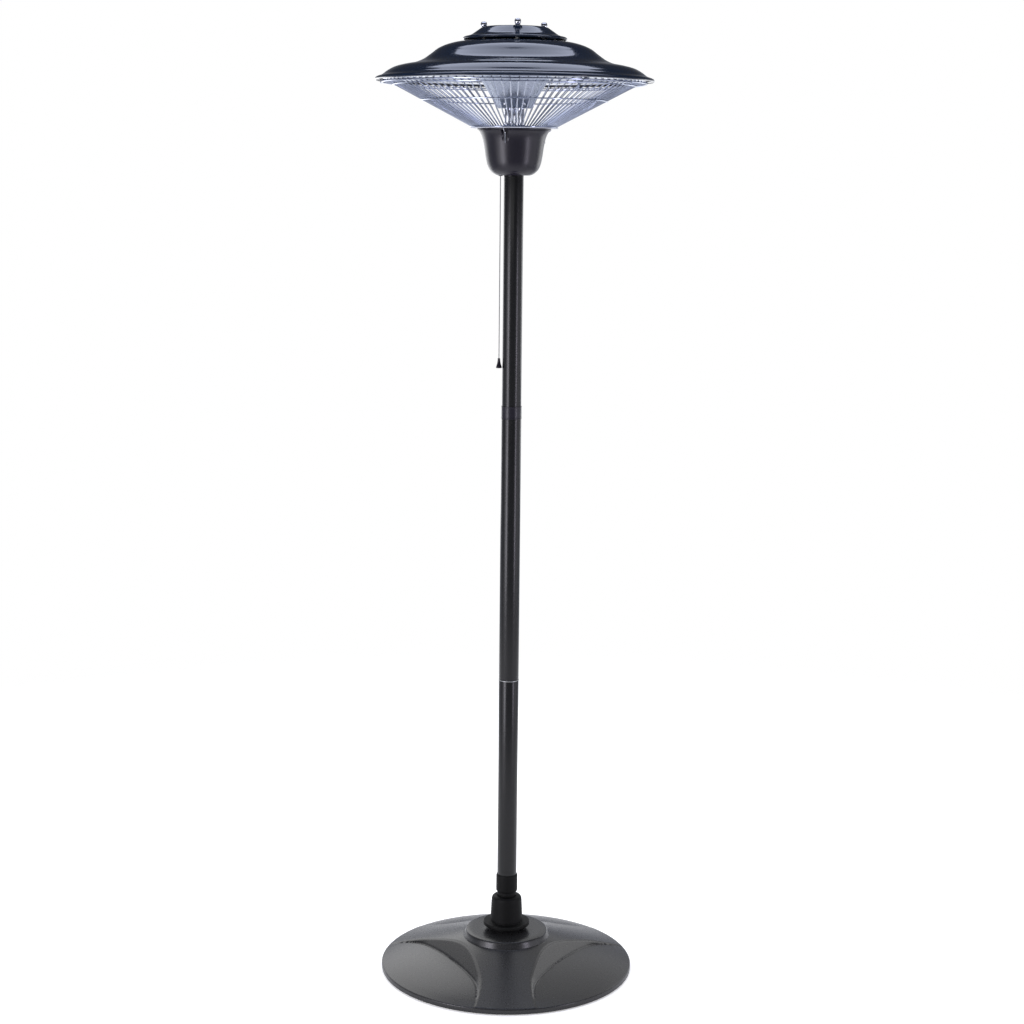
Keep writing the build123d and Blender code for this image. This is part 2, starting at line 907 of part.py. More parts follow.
def acorn_nuts():
    """Ball nuts on top of the cap."""
    base_top = cap_height + acorn_base_height
    ball = Pos(0, 0, base_top + 0.8 * acorn_radius)
    levels = [-0.8, 0, 0.7]
    outline = [(acorn_radius * (1 - level**2) ** 0.5, acorn_radius * level) for level in levels]
    core = 0.3 * acorn_radius
    body = turned([(core, outline[0][1]), *outline, (core, acorn_radius)], fastener_panels)
    cap = bar(core, 0, acorn_radius, panels=fastener_panels)
    base = bar(acorn_base_radius, cap_height, base_top, panels=fastener_panels)
    bore = bar(stud_radius, cap_height - 1, cap_height + acorn_radius, panels=fastener_panels)
    return stud_copies(ball * (body + cap) + base - bore)


# ---------------------------------------------------------------- lamps
def lamp_copies(shape):
    """Copies of what is modelled on the +X side of the triangle."""
    return around(Pos(lamp_circle, 0, lamp_height) * shape, lamp_count, lamp_angle)


lamp_half = holder_reach - holder_length + holder_socket


def quartz_lamps():
    """Clear tubes with pinched, closed ends."""
    hollow_half = lamp_half - lamp_pinch
    hollow = bar(lamp_radius - lamp_wall, -hollow_half, hollow_half)
    return lamp_copies(lying(bar(lamp_radius, -lamp_half, lamp_half) - hollow))


def lamp_filaments():
    """Heating filaments down the middle of each lamp."""
    reach = lamp_half - lamp_pinch
    return lamp_copies(lying(bar(filament_radius, -reach, reach)))


def lamp_holders():
    """Ceramic blocks that take the lamps' ends."""
    blocks = []
    half_width, half_height = holder_width / 2, holder_height / 2
    socket = lying(bar(lamp_radius + seat_gap, -lamp_half, lamp_half))
    for side in (-1, 1):
        near, far = sorted((side * (holder_reach - holder_length), side * holder_reach))
        block = slab((-half_width, near, -half_height), (half_width, far, half_height))
        blocks += lamp_copies(block - socket)
    return blocks


bar_low = lamp_height + holder_height / 2
bar_high = bar_low + bar_thickness


def lamp_bars():
    """Flat steel bars over the lamps, with their holders below."""
    half = bar_width / 2
    low = bar_low - lamp_height
    return lamp_copies(slab((-half, -holder_reach, low), (half, holder_reach, low + bar_thickness)))


def lamp_standoffs():
    """Short pillars between the bars and the dish, two on each side of the triangle."""
    high = lamp_drop - dish_crest[1] - dish_sheet - standoff_drop
    low = bar_high - lamp_height
    pillars = []
    for side in (-1, 1):
        pillar = bar(standoff_radius, low, high, 0, side * standoff_reach, fastener_panels)
        pillars += lamp_copies(pillar)
    return pillars


# ---------------------------------------------------------------- wire guard
ring_low_height = plate_top + ring_size / 2
weld_offset = (wire_radius + ring_size) / 2 - weld_sink


def guard_points():
    """Corners of a wire's centre line as radius and height."""
    bend, top = under(shade_top, guard_bend, guard_top)
    lean = atan((bend[1] - ring_low_height) / (bend[0] - guard_low_radius))
    low_radius = guard_low_radius - weld_offset * sin(lean) - ring_size / 2
    low_height = ring_low_height + weld_offset * cos(lean) - ring_size / 2 * tan(lean)
    return (low_radius, low_height), bend, top


def square_along(size, lean):
    """A square section whose sides follow a direction leaning from level."""
    return Rot(0, 0, degrees(lean)) * Rectangle(size, size)


def guard_ring(radius):
    """A ring welded on the outer side of the wires."""
    low, bend, top = guard_points()
    start, end = (low, bend) if radius < bend[0] else (bend, top)
    lean = atan((end[1] - start[1]) / (end[0] - start[0]))
    height = start[1] + (radius - start[0]) * tan(lean)
    x = radius + weld_offset * sin(lean)
    section = Plane.XZ * Pos(x, height - weld_offset * cos(lean)) * square_along(ring_size, lean)
    return carried(section, x, ring_panels)


def guard_rings():
    """Four rings that carry the wires."""
    radii = (guard_low_radius, guard_middle_radius, guard_bend[0] - ring_size, guard_top[0] - 2)
    return [guard_ring(radius) for radius in radii]


def guard_wires():
    """Radial wires with a flat underside, each a straight run with one bend near the shade."""
    low, bend, top = guard_points()
    path = Plane.XZ * Polyline(low, bend, top)
    square_to_path = Plane(path @ 0, x_dir=(0, 1, 0), z_dir=path % 0)
    section = square_to_path * RegularPolygon(wire_radius, wire_sides, rotation=90)
    wire = sweep(section, path=path, transition=Transition.RIGHT)
    return around(wire, wire_count, 180 / wire_count)


def bent_strip(points, thickness, width):
    """A strip bent in the XZ plane along a path, its thickness on the path's right-hand side."""
    outline = Polyline(*strip(points, thickness), close=True)
    return extrude(Plane.XZ * make_face(outline.edges()), width / 2, both=True)


def rim_hooks():
    """Bent strips that hang the guard's top ring from the shade's flange."""
    top_ring = guard_ring(guard_top[0] - 2).bounding_box()
    low = top_ring.min.Z - seat_gap
    outer = top_ring.max.X + seat_gap
    inner = outer - 2 * ring_size
    tongue = (outer, shade_top - shade_flange_end[1] - 1.5 * shade_sheet)
    hook = bent_strip([(inner, low), (outer, low), tongue], hook_thickness, hook_width)
    return around(hook, hook_count, hook_angle)


def guard_clips():
    """Wire clips from the edge of the floor plate in against the bell's throat."""
    high = bell_top - seat_gap
    low = (bell_throat_radius + 3, bell_top - clip_drop)
    points = [low, (bell_lip_radius + 2, high), (floor_plate_radius - 1, high)]
    clip = bent_strip(points, clip_thickness, clip_width)
    return around(clip, clip_count, clip_angle)


# ---------------------------------------------------------------- pull switch
half_travel = pull_travel / 2
rest_angle = degrees(atan(half_travel / lever_arm))
hook_pin_height = lever_pivot_height + half_travel
pivot_x = cord_x + lever_arm
lever_low_y = cord_y - lever_thickness / 2
lever_high_y = cord_y + lever_thickness / 2
ear_reach = ear_gap + ear_thickness


def switch_lever():
    """Lever with an eye at its pivot and an open slot for the cord's pin."""
    reach = lever_arm + 5
    slot_start = lever_arm - 3
    half_slot = hook_pin_radius + slot_gap
    half = lever_thickness / 2
    body = slab((-reach, -half, -lever_half_height), (0, half, lever_half_height))
    body += pin(lever_half_height, -half, half, 0, 0)
    body -= slab((-2 * reach, -2 * half, -half_slot), (-slot_start, 2 * half, half_slot))
    body -= bearing(lever_pin_radius + pin_gap, -half, half, 0, 0)
    return Pos(pivot_x, cord_y, lever_pivot_height) * Rot(0, rest_angle, 0) * body


def lever_pin():
    """Pin through the ears of the switch."""
    low, high = lever_low_y - ear_reach, lever_high_y + ear_reach
    return pin(lever_pin_radius, low, high, pivot_x, lever_pivot_height)


def switch_body():
    """Moulded switch case with a round chamber and two ears for the lever."""
    front = switch_front + switch_cover_thickness
    case = slab((switch_low_x, front, switch_low), (switch_high_x, chassis_y, switch_high))
    chamber = hole(rotor_radius + rotor_gap, front, chassis_y - 4, panels=tube_panels)
    case -= Pos(rotor_x, 0, rotor_height) * lying(chamber)
    half = lever_half_height
    for low_y in (lever_low_y - ear_reach, lever_high_y + ear_gap):
        ear_low = (pivot_x - half, low_y, lever_pivot_height - half)
        case += slab(ear_low, (pivot_x + half, low_y + ear_thickness, switch_low))
    low, high = lever_low_y - ear_reach, lever_high_y + ear_reach
    return case - bearing(lever_pin_radius, low, high, pivot_x, lever_pivot_height)


def switch_cover():
    """Front plate of the switch, with the rotor's bearing."""
    front = switch_front + switch_cover_thickness
    plate = slab((switch_low_x, switch_front, switch_low), (switch_high_x, front, switch_high))
    shaft_radius = rotor_shaft_radius + pin_gap
    return plate - bearing(shaft_radius, switch_front, front, rotor_x, rotor_height)


def switch_rotor():
    """Contact drum that each pull turns on by one step, with a cross slot in its back."""
    low_y = switch_front + switch_cover_thickness + rotor_gap
    high_y = chassis_y - 3 - rotor_gap
    drum = bar(rotor_radius, low_y, high_y, panels=tube_panels)
    drum = Pos(rotor_x, 0, rotor_height) * lying(drum)
    half, reach = rotor_slot / 2, 2 * rotor_radius
    slot_y = high_y - rotor_slot
    for across_x, up in ((half, reach), (reach, half)):
        low = (rotor_x - across_x, slot_y, rotor_height - up)
        drum -= slab(low, (rotor_x + across_x, high_y + 1, rotor_height + up))
    return drum + pin(rotor_shaft_radius, switch_front - 2, low_y, rotor_x, rotor_height)


spring_low = bush_top
spring_high = hook_pin_height - hook_drop - hook_bridge
cord_top = spring_high - stem_length


def cord_hook():
    """Stirrup that joins the cord to the lever's slot."""
    inner_low, inner_high = lever_low_y - 1, lever_high_y + 1
    low_y, high_y = inner_low - hook_cheek, inner_high + hook_cheek
    half = stem_radius + 1
    bridge_top = spring_high + hook_bridge
    cheek_top = hook_pin_height + hook_pin_radius + 1.5
    body = slab((cord_x - half, low_y, spring_high), (cord_x + half, high_y, cheek_top))
    gap_high = (cord_x + 2 * half, inner_high, cheek_top + 1)
    body -= slab((cord_x - 2 * half, inner_low, bridge_top), gap_high)
    body += bar(stem_radius, cord_top, bridge_top, cord_x, cord_y)
    return body + pin(hook_pin_radius, low_y, high_y, cord_x, hook_pin_height)


def return_spring():
    """Compression spring round the cord, between the bush's flange and the stirrup."""
    return tube(spring_radius, spring_radius - spring_wire, spring_low, spring_high, cord_x, cord_y)


def cord_eyelet():
    """Smooth eyelet where the cord leaves the bell."""
    flange_low = bell_bottom - eyelet_flange
    body = bar(eyelet_radius, bell_bottom, bush_top, cord_x, cord_y)
    body += bar(eyelet_flange_radius, flange_low, bell_bottom, cord_x, cord_y)
    return body - hole(eyelet_bore, flange_low, bush_top, cord_x, cord_y)


def pull_cord():
    """Braided cord, hanging straight under the weight of its knob."""
    return bar(cord_radius, knob_top, cord_top, cord_x, cord_y, tube_panels)


def pull_knob():
    """Bell-shaped knob at the end of the cord."""
    low = knob_top - knob_height
    levels = ((0, knob_top_radius), (0.25, knob_waist_radius), (0.6, 4.1), (0.92, knob_low_radius))
    core = knob_top_radius / 2
    outline = [(radius, knob_top - share * knob_height) for share, radius in levels]
    bottom = (knob_low_radius - 1, low)
    skin = turned([(core, knob_top), *outline, bottom, (core, low)], knob_panels)
    return Pos(cord_x, cord_y, 0) * (skin + bar(1.2 * core, low, knob_top, panels=knob_panels))


def terminal_block():
    """Ceramic terminal block with its screw wells."""
    low = (terminal_x, terminal_y, bell_top - terminal_drop)
    high = [a + b for a, b in zip(low, terminal_size)]
    pitch = terminal_size[0] / terminal_ways
    well_y = terminal_y + terminal_size[1] / 2
    well_low = high[2] - terminal_well_depth
    wells = []
    for k in range(terminal_ways):
        x = terminal_x + pitch * (k + 0.5)
        wells.append(bar(terminal_well_radius, well_low, high[2] + 1, x, well_y))
    return without(slab(low, high), wells)


def tilt_switch():
    """Sealed tip-over switch on the chassis."""
    low = bell_top - tilt_switch_drop
    middle = chassis_y - tilt_switch_radius
    high = low + tilt_switch_height
    return bar(tilt_switch_radius, low, high, tilt_switch_x, middle, tube_panels)


def thermal_cutout():
    """Button thermostat under the floor plate."""
    low = bell_top - cutout_height
    can = bar(cutout_radius, low, bell_top, *cutout_place, tube_panels)
    return can + bar(cutout_radius - 2, low - 3, low, *cutout_place, tube_panels)


nodes = [
    base_cover,
    cable_grommet,
    base_plate,
    rubber_feet,
    pole_socket,
    socket_bolts,
    base_collar,
    pole_sleeve,
    pole_lower,
    lower_coupler,
    pole_middle,
    upper_coupler,
    pole_upper,
    bell_housing,
    pole_bush,
    guard_floor_plate,
    control_chassis,
    support_tubes,
    tube_nuts,
    lamp_leads,
    reflector_cone,
    hub_cup,
    cone_screws,
    hub_column,
    shade,
    reflector_dish,
    vent_cap,
    cap_spacers,
    cap_studs,
    stud_nuts,
    acorn_nuts,
    quartz_lamps,
    lamp_filaments,
    lamp_holders,
    lamp_bars,
    lamp_standoffs,
    guard_wires,
    guard_rings,
    rim_hooks,
    guard_clips,
    switch_body,
    switch_cover,
    switch_rotor,
    switch_lever,
    lever_pin,
    cord_hook,
    return_spring,
    cord_eyelet,
    pull_cord,
    pull_knob,
    terminal_block,
    tilt_switch,
    thermal_cutout,
]

for node in nodes:
    save(node.__name__, node())
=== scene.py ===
"""Finish, light and camera for the standing infrared patio heater.

Lengths here are millimetres, +Z up, with the origin on the floor under the pole and the front
facing -Y. A mesh gets them in metres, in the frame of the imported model.
"""

import math

import bmesh
import bpy
import numpy as np
from mathutils import Matrix, Vector


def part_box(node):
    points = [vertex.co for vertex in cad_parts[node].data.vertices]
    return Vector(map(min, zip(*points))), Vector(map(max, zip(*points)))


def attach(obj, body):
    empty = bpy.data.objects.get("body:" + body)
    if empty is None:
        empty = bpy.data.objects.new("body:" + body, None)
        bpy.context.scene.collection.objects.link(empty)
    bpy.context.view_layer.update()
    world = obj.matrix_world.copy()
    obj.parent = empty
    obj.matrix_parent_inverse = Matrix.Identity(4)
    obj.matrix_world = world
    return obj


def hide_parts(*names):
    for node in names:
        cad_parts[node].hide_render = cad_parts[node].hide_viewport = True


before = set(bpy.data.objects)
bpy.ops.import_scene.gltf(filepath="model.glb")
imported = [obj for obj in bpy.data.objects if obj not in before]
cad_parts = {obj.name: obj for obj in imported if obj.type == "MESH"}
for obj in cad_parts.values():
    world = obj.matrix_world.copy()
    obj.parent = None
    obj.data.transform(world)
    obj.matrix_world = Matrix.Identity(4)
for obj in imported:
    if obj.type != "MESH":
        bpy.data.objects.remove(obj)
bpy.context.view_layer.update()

MM = 0.001
TURN = 2 * math.pi

# ---------------------------------------------------------------- driving sizes
# Base: a dome on six feet, with a hub and three sunk petals.
base_radius = 286
foot_height = 3
hub_height = 90
hub_radius = 95.5
petal_angles = (90, 210, 330)

# Pole: three tubes in a sleeve at the foot, joined by plugs.
pole_radius = 22
upper_pole_radius = 21.5
socket_bore = 19.5
socket_top = 197
sleeve_bore = 21.7
sleeve_radius = 24.3
pole_foot = 200
lower_joint = 677
bead_height = 2
upper_joint = 1270
ferrule_top = 1297.5
pole_end = 1824
plug_radius = 20.3
plug_length = 60
plug_bore = 5
bead_radius = 22.7

# Control housing: a bell under a round plate.
bell_bottom = 1797.8
bell_top = 1897.5
bell_wall = 2.5
bell_lip = 79.5
plate_radius = 94.8
plate_top = 1899
clip_count = 3
clip_first = -106

# Lamp head.
shade_top = 2078.6
shade_sheet = 1.2
dish_sheet = 0.8
cap_top = 2110
stud_count = 3
stud_circle = 75
stud_first = -86
lamp_count = 3
lamp_circle = 125
lamp_height = 2022
lamp_reach = 130
wire_count = 96
wire_radius = 1.15
ring_radius = 1.5

# Pull cord and its knob.
cord_x = -28.5
cord_y = -4
cord_diameter = 2
knob_top = 1402.8
knob_low = 1381.3


# ---------------------------------------------------------------- surfaces
def rounded(corners, steps=6):
    """Corners as (x, z, cut): each is cut back by `cut` along both its runs and bridged by a
    parabola, (1-s)^2 A + 2s(1-s) corner + s^2 B. The outline is closed."""
    rows = np.array(corners, float)
    point, cut = rows[:, :2], rows[:, 2:]
    back = np.roll(point, 1, 0) - point
    ahead = np.roll(point, -1, 0) - point
    start = point + back / np.linalg.norm(back, axis=1, keepdims=True) * cut
    end = point + ahead / np.linalg.norm(ahead, axis=1, keepdims=True) * cut
    s = np.linspace(0, 1, steps)[None, :, None]
    curve = (1 - s) ** 2 * start[:, None] + 2 * s * (1 - s) * point[:, None] + s**2 * end[:, None]
    return curve.reshape(-1, 2)


def flowing(points, steps):
    """A smooth run through points: each stretch is a cubic whose slope at a point is half the
    difference between that point's two neighbours."""
    p = np.array(points, float)
    slope = np.gradient(p, axis=0)
    s = np.linspace(0, 1, steps, endpoint=False)[None, :, None]
    a, b, u, v = p[:-1, None], p[1:, None], slope[:-1, None], slope[1:, None]
    run = a * (1 + 2 * s) * (1 - s) ** 2 + b * s**2 * (3 - 2 * s)
    run = run + u * s * (1 - s) ** 2 - v * s**2 * (1 - s)
    return np.concatenate([run.reshape(-1, p.shape[1]), p[-1:]])


def offset_run(run, distance):
    """The run moved sideways, each point along the mean normal of its two stretches."""
    slope = np.gradient(run, axis=0)
    normal = np.stack([-slope[:, 1], slope[:, 0]], axis=1)
    return run + distance * normal / np.linalg.norm(normal, axis=1, keepdims=True)


def sheet_outline(run, thickness):
    """A closed outline of a sheet: out along the run and back along its offset."""
    return np.concatenate([run, offset_run(run, -thickness)[::-1]])


def turned(outline, count=144):
    """An outline of radius and height turned about Z: x = r cos a, y = r sin a, z = h."""
    radius, height = np.asarray(outline, float).T
    angle = np.arange(count) * TURN / count
    x = radius[:, None] * np.cos(angle)
    y = radius[:, None] * np.sin(angle)
    return np.stack([x, y, np.broadcast_to(height[:, None], x.shape)], axis=-1)


def carried(path, radius, sides):
    """A round section carried along a bent path. At each point it is spanned by two normals of
    the path: one square to the path's own plane, and one in that plane."""
    ahead = np.gradient(path, axis=0)
    ahead /= np.linalg.norm(ahead, axis=1, keepdims=True)
    plane = np.cross(ahead[0], path[-1] - path[0])
    side = np.cross(ahead, np.cross(plane / np.linalg.norm(plane), ahead))
    side /= np.linalg.norm(side, axis=1, keepdims=True)
    up = np.cross(side, ahead)
    angle = np.arange(sides) * TURN / sides
    ring = np.cos(angle)[None, :, None] * side[:, None] + np.sin(angle)[None, :, None] * up[:, None]
    return path[:, None] + radius * ring


def capped(grid):
    """The grid with its first and last rows drawn together to their middles."""
    first = np.broadcast_to(grid[:1].mean(axis=1, keepdims=True), grid[:1].shape)
    last = np.broadcast_to(grid[-1:].mean(axis=1, keepdims=True), grid[-1:].shape)
    return np.concatenate([first, grid, last])


def moved(grid, x=0, y=0, z=0):
    """The grid shifted in millimetres."""
    return grid + np.array([x, y, z], float)


def spun(grid, degrees):
    """The grid turned about Z: the rotation matrix of that angle times each point."""
    a = math.radians(degrees)
    turn = np.array([[math.cos(a), math.sin(a), 0], [-math.sin(a), math.cos(a), 0], [0, 0, 1]])
    return grid @ turn


def copies(grid, count, first=0):
    """Equal copies of a grid about the pole's axis."""
    return [spun(grid, first + 360 * k / count) for k in range(count)]


def aimed(grid, origin, direction):
    """A grid modelled along +Z, moved to an origin and turned so that +Z meets a direction."""
    turn = Vector((0, 0, 1)).rotation_difference(Vector(direction)).to_matrix()
    return grid @ np.array(turn).T + np.array(origin, float)


def piece(name, grids, material, body="stand", stands_for=(), closed=True, crease=35):
    """One mesh from grids of points. Columns wrap; rows wrap too where `closed` is true. Doubles
    are merged, which closes seams and poles, and the faces are turned outwards. Edges sharper
    than `crease` degrees stay sharp."""
    points, faces, start = [], [], 0
    for grid in grids:
        rows, columns = grid.shape[:2]
        index = np.arange(rows * columns).reshape(rows, columns) + start
        index = np.concatenate([index, index[:, :1]], axis=1)
        if closed:
            index = np.concatenate([index, index[:1]], axis=0)
        a, b = index[:-1, :-1], index[1:, :-1]
        c, d = index[1:, 1:], index[:-1, 1:]
        faces.append(np.stack([a, b, c, d], axis=-1).reshape(-1, 4))
        points.append(grid.reshape(-1, 3))
        start += rows * columns
    mesh = bpy.data.meshes.new(name)
    mesh.from_pydata(np.concatenate(points) * MM, [], np.concatenate(faces).tolist())
    work = bmesh.new()
    work.from_mesh(mesh)
    bmesh.ops.remove_doubles(work, verts=work.verts, dist=2e-6)
    bmesh.ops.recalc_face_normals(work, faces=work.faces)
    work.to_mesh(mesh)
    work.free()
    mesh.validate()
    mesh.shade_smooth()
    mesh.set_sharp_from_angle(angle=math.radians(crease))
    made = bpy.data.objects.new(name, mesh)
    bpy.context.scene.collection.objects.link(made)
    made.data.materials.append(material)
    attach(made, body)
    if stands_for:
        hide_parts(*stands_for)
    return made


def open_piece(name, grids, material, **facts):
    """A piece whose rows don't wrap: its ends are capped instead."""
    return piece(name, [capped(grid) for grid in grids], material, closed=False, **facts)


# ---------------------------------------------------------------- materials
def linear(colour):
    """An sRGB hex value as linear red, green, blue and alpha."""
    parts = np.array([int(colour[k : k + 2], 16) / 255 for k in (1, 3, 5)])
    low, high = parts / 12.92, ((parts + 0.055) / 1.055) ** 2.4
    return (*np.where(parts <= 0.04045, low, high), 1)


def add(owner, kind, links=(), **settings):
    """Adds a node to a material or a world. Settings are socket values or node properties; a
    link is (from node, its output, this node's input)."""
    node = owner.node_tree.nodes.new(kind)
    for key, value in settings.items():
        if hasattr(node, key):
            setattr(node, key, value)
        else:
            node.inputs[key.replace("_", " ")].default_value = value
    for source, output, target in links:
        owner.node_tree.links.new(source.outputs[output], node.inputs[target])
    return node


def surface(name, **settings):
    """A material with its shader node, the constants set on the shader's own sockets."""
    material = bpy.data.materials.new(name)
    material.use_nodes = True
    shader = material.node_tree.nodes["Principled BSDF"]
    for key, value in settings.items():
        shader.inputs[key.replace("_", " ")].default_value = value
    return material, shader


def join(owner, source, output, node, target):
    """Links a node's output to an input of a node that is there already."""
    owner.node_tree.links.new(source.outputs[output], node.inputs[target])


def textured(material, shader, scale_mm, bump_mm, colours, rough, detail=4):
    """Noise of a real grain size in Object coordinates: it varies the colour between two hex
    values and the roughness between two numbers, and raises a bump of a real height."""
    place = add(material, "ShaderNodeTexCoord")
    noise = add(
        material,
        "ShaderNodeTexNoise",
        [(place, "Object", "Vector")],
        Scale=1 / (scale_mm * MM),
        Detail=detail,
    )
    tint = add(material, "ShaderNodeMix", [(noise, "Fac", "Factor")], data_type="RGBA")
    tint.inputs[6].default_value = linear(colours[0])
    tint.inputs[7].default_value = linear(colours[1])
    join(material, tint, 2, shader, "Base Color")
    gloss = add(
        material,
        "ShaderNodeMapRange",
        [(noise, "Fac", "Value")],
        To_Min=rough[0],
        To_Max=rough[1],
    )
    join(material, gloss, "Result", shader, "Roughness")
    bump = add(
        material,
        "ShaderNodeBump",
        [(noise, "Fac", "Height")],
        Distance=bump_mm * MM,
        Strength=1.0,
    )
    join(material, bump, "Normal", shader, "Normal")


def moulded_polypropylene():
    """Polypropylene from a polished mould: black, greyed by long soft reflections."""
    material, shader = surface("moulded_polypropylene", IOR=1.49)
    textured(material, shader, 5, 0.004, ("#1b1b1c", "#212122"), (0.25, 0.31), detail=2)
    return material


def moulded_nylon():
    """Glass-filled nylon, moulded smooth: black with a violet cast, and satin."""
    material, shader = surface("moulded_nylon", IOR=1.5, Specular_IOR_Level=0.36)
    textured(material, shader, 2, 0.004, ("#13111a", "#1a1722"), (0.27, 0.33), detail=2)
    return material


def matt_nylon():
    """Glass-filled nylon with a dry, spark-eroded skin: the blackest part of the heater."""
    material, shader = surface("matt_nylon", IOR=1.5, Specular_IOR_Level=0.15)
    textured(material, shader, 0.8, 0.015, ("#080808", "#0b0b0b"), (0.5, 0.6))
    return material


def spun_enamelled_steel():
    """Spun steel under gloss enamel: near-black with a navy cast, and a slight orange peel."""
    material, shader = surface(
        "spun_enamelled_steel", IOR=1.5, Coat_Weight=0.6, Coat_Roughness=0.05
    )
    textured(material, shader, 6, 0.01, ("#0a1628", "#0f1f35"), (0.1, 0.16))
    return material


def powder_coated_tube():
    """Powder-coated steel tube: satin black with a faint orange peel."""
    material, shader = surface("powder_coated_tube", IOR=1.5, Specular_IOR_Level=0.36)
    textured(material, shader, 8, 0.002, ("#0d0d0e", "#131314"), (0.22, 0.26), detail=1)
    return material


def chromed_wire():
    """Chrome plate over drawn wire: a cool mirror, greyed by the drawing marks under it."""
    material, shader = surface("chromed_wire", Metallic=1.0)
    textured(material, shader, 30, 0.002, ("#8f96a9", "#a5acbd"), (0.08, 0.14), detail=2)
    return material


def polished_chrome():
    """Chrome plate over polished steel: a clear, bright mirror."""
    material, shader = surface("polished_chrome", Metallic=1.0)
    textured(material, shader, 20, 0.001, ("#dfe1ea", "#ebecf2"), (0.04, 0.08), detail=2)
    return material


def spun_aluminium():
    """Spun and polished sheet aluminium: bright, its reflections slightly clouded."""
    material, shader = surface("spun_aluminium", Metallic=1.0)
    textured(material, shader, 30, 0.01, ("#dde1e8", "#eef1f5"), (0.12, 0.2), detail=2)
    return material


def rolled_aluminium():
    """Aluminium sheet as rolled, folded into facets: greyer than the spun dish, and blurred."""
    material, shader = surface("rolled_aluminium", Metallic=1.0)
    textured(material, shader, 45, 0.01, ("#a2a9b8", "#b2b9c6"), (0.2, 0.28), detail=2)
    return material


def silver_lacquered_steel():
    """Sheet steel under silver lacquer: pale grey, evenly bright from any side."""
    material, shader = surface("silver_lacquered_steel", IOR=1.5)
    textured(material, shader, 4, 0.004, ("#b9bdc9", "#c9cdd8"), (0.3, 0.4))
    return material


def zinc_plated_steel():
    """Zinc-plated steel: dull silver, clouded by its passivation."""
    material, shader = surface("zinc_plated_steel", Metallic=1.0)
    textured(material, shader, 5, 0.003, ("#8d8f92", "#a6a7a4"), (0.3, 0.45))
    return material


def moulded_rubber():
    """Moulded rubber: black and matt."""
    material, shader = surface("moulded_rubber", IOR=1.52)
    textured(material, shader, 0.6, 0.02, ("#101011", "#181819"), (0.7, 0.85))
    return material


def fused_quartz():
    """Clear fused quartz: see-through, with faint drawing marks."""
    material, shader = surface("fused_quartz", IOR=1.458, Transmission_Weight=1.0)
    textured(material, shader, 12, 0.002, ("#f2f4f6", "#ffffff"), (0.01, 0.04))
    return material


def steatite():
    """Unglazed steatite ceramic: off-white and dry."""
    material, shader = surface("steatite", IOR=1.58)
    textured(material, shader, 0.8, 0.02, ("#d8d3c6", "#e6e2d8"), (0.55, 0.7))
    return material


def resistance_wire():
    """Coiled resistance wire, oxidised dark brown by heat."""
    material, shader = surface("resistance_wire", Metallic=1.0)
    textured(material, shader, 1, 0.002, ("#4a4038", "#6a5c50"), (0.4, 0.6))
    return material


def white_melamine():
    """Heat-proof moulding compound of the switch: warm white, slightly glossy."""
    material, shader = surface("white_melamine", IOR=1.55)
    textured(material, shader, 1, 0.006, ("#dcd8cc", "#e8e5da"), (0.3, 0.4))
    return material


def silicone_sleeve():
    """Silicone-sleeved lead: pale grey, rubbery."""
    material, shader = surface("silicone_sleeve", IOR=1.41)
    textured(material, shader, 0.8, 0.01, ("#b4b2aa", "#c6c4bc"), (0.5, 0.6))
    return material


def braided_polyester():
    """Braided polyester cord: grey yarns that cross each other, with a fine relief. The yarns are
    bands of a wave that, at scale 1, repeats every 2 pi / 20 metres."""
    material, shader = surface("braided_polyester", IOR=1.5, Sheen_Weight=0.3, Roughness=0.75)
    strand_spacing = 0.8 * MM
    strand_lean = 0.7
    wave_period = TURN / 20
    place = add(material, "ShaderNodeTexCoord")
    strands = []
    for lean in (strand_lean, -strand_lean):
        leaning = add(
            material, "ShaderNodeMapping", [(place, "Object", "Vector")], Rotation=(0, lean, 0)
        )
        strand = add(
            material,
            "ShaderNodeTexWave",
            [(leaning, "Vector", "Vector")],
            Scale=wave_period / strand_spacing,
            bands_direction="Z",
            Distortion=0.4,
        )
        strands.append(strand)
    weave = add(
        material,
        "ShaderNodeMath",
        [(strands[0], "Fac", 0), (strands[1], "Fac", 1)],
        operation="MAXIMUM",
    )
    tint = add(material, "ShaderNodeMix", [(weave, 0, "Factor")], data_type="RGBA")
    tint.inputs[6].default_value = linear("#4c4c4e")
    tint.inputs[7].default_value = linear("#9a9a9c")
    join(material, tint, 2, shader, "Base Color")
    bump = add(
        material, "ShaderNodeBump", [(weave, 0, "Height")], Distance=0.15 * MM, Strength=1.0
    )
    join(material, bump, "Normal", shader, "Normal")
    return material


polypropylene = moulded_polypropylene()
nylon = moulded_nylon()
matt = matt_nylon()
enamel = spun_enamelled_steel()
coated_tube = powder_coated_tube()
wire_chrome = chromed_wire()
chrome = polished_chrome()
aluminium = spun_aluminium()
rolled = rolled_aluminium()
lacquer = silver_lacquered_steel()
zinc = zinc_plated_steel()
rubber = moulded_rubber()
quartz = fused_quartz()
ceramic = steatite()
hot_wire = resistance_wire()
melamine = white_melamine()
silicone = silicone_sleeve()
braid = braided_polyester()

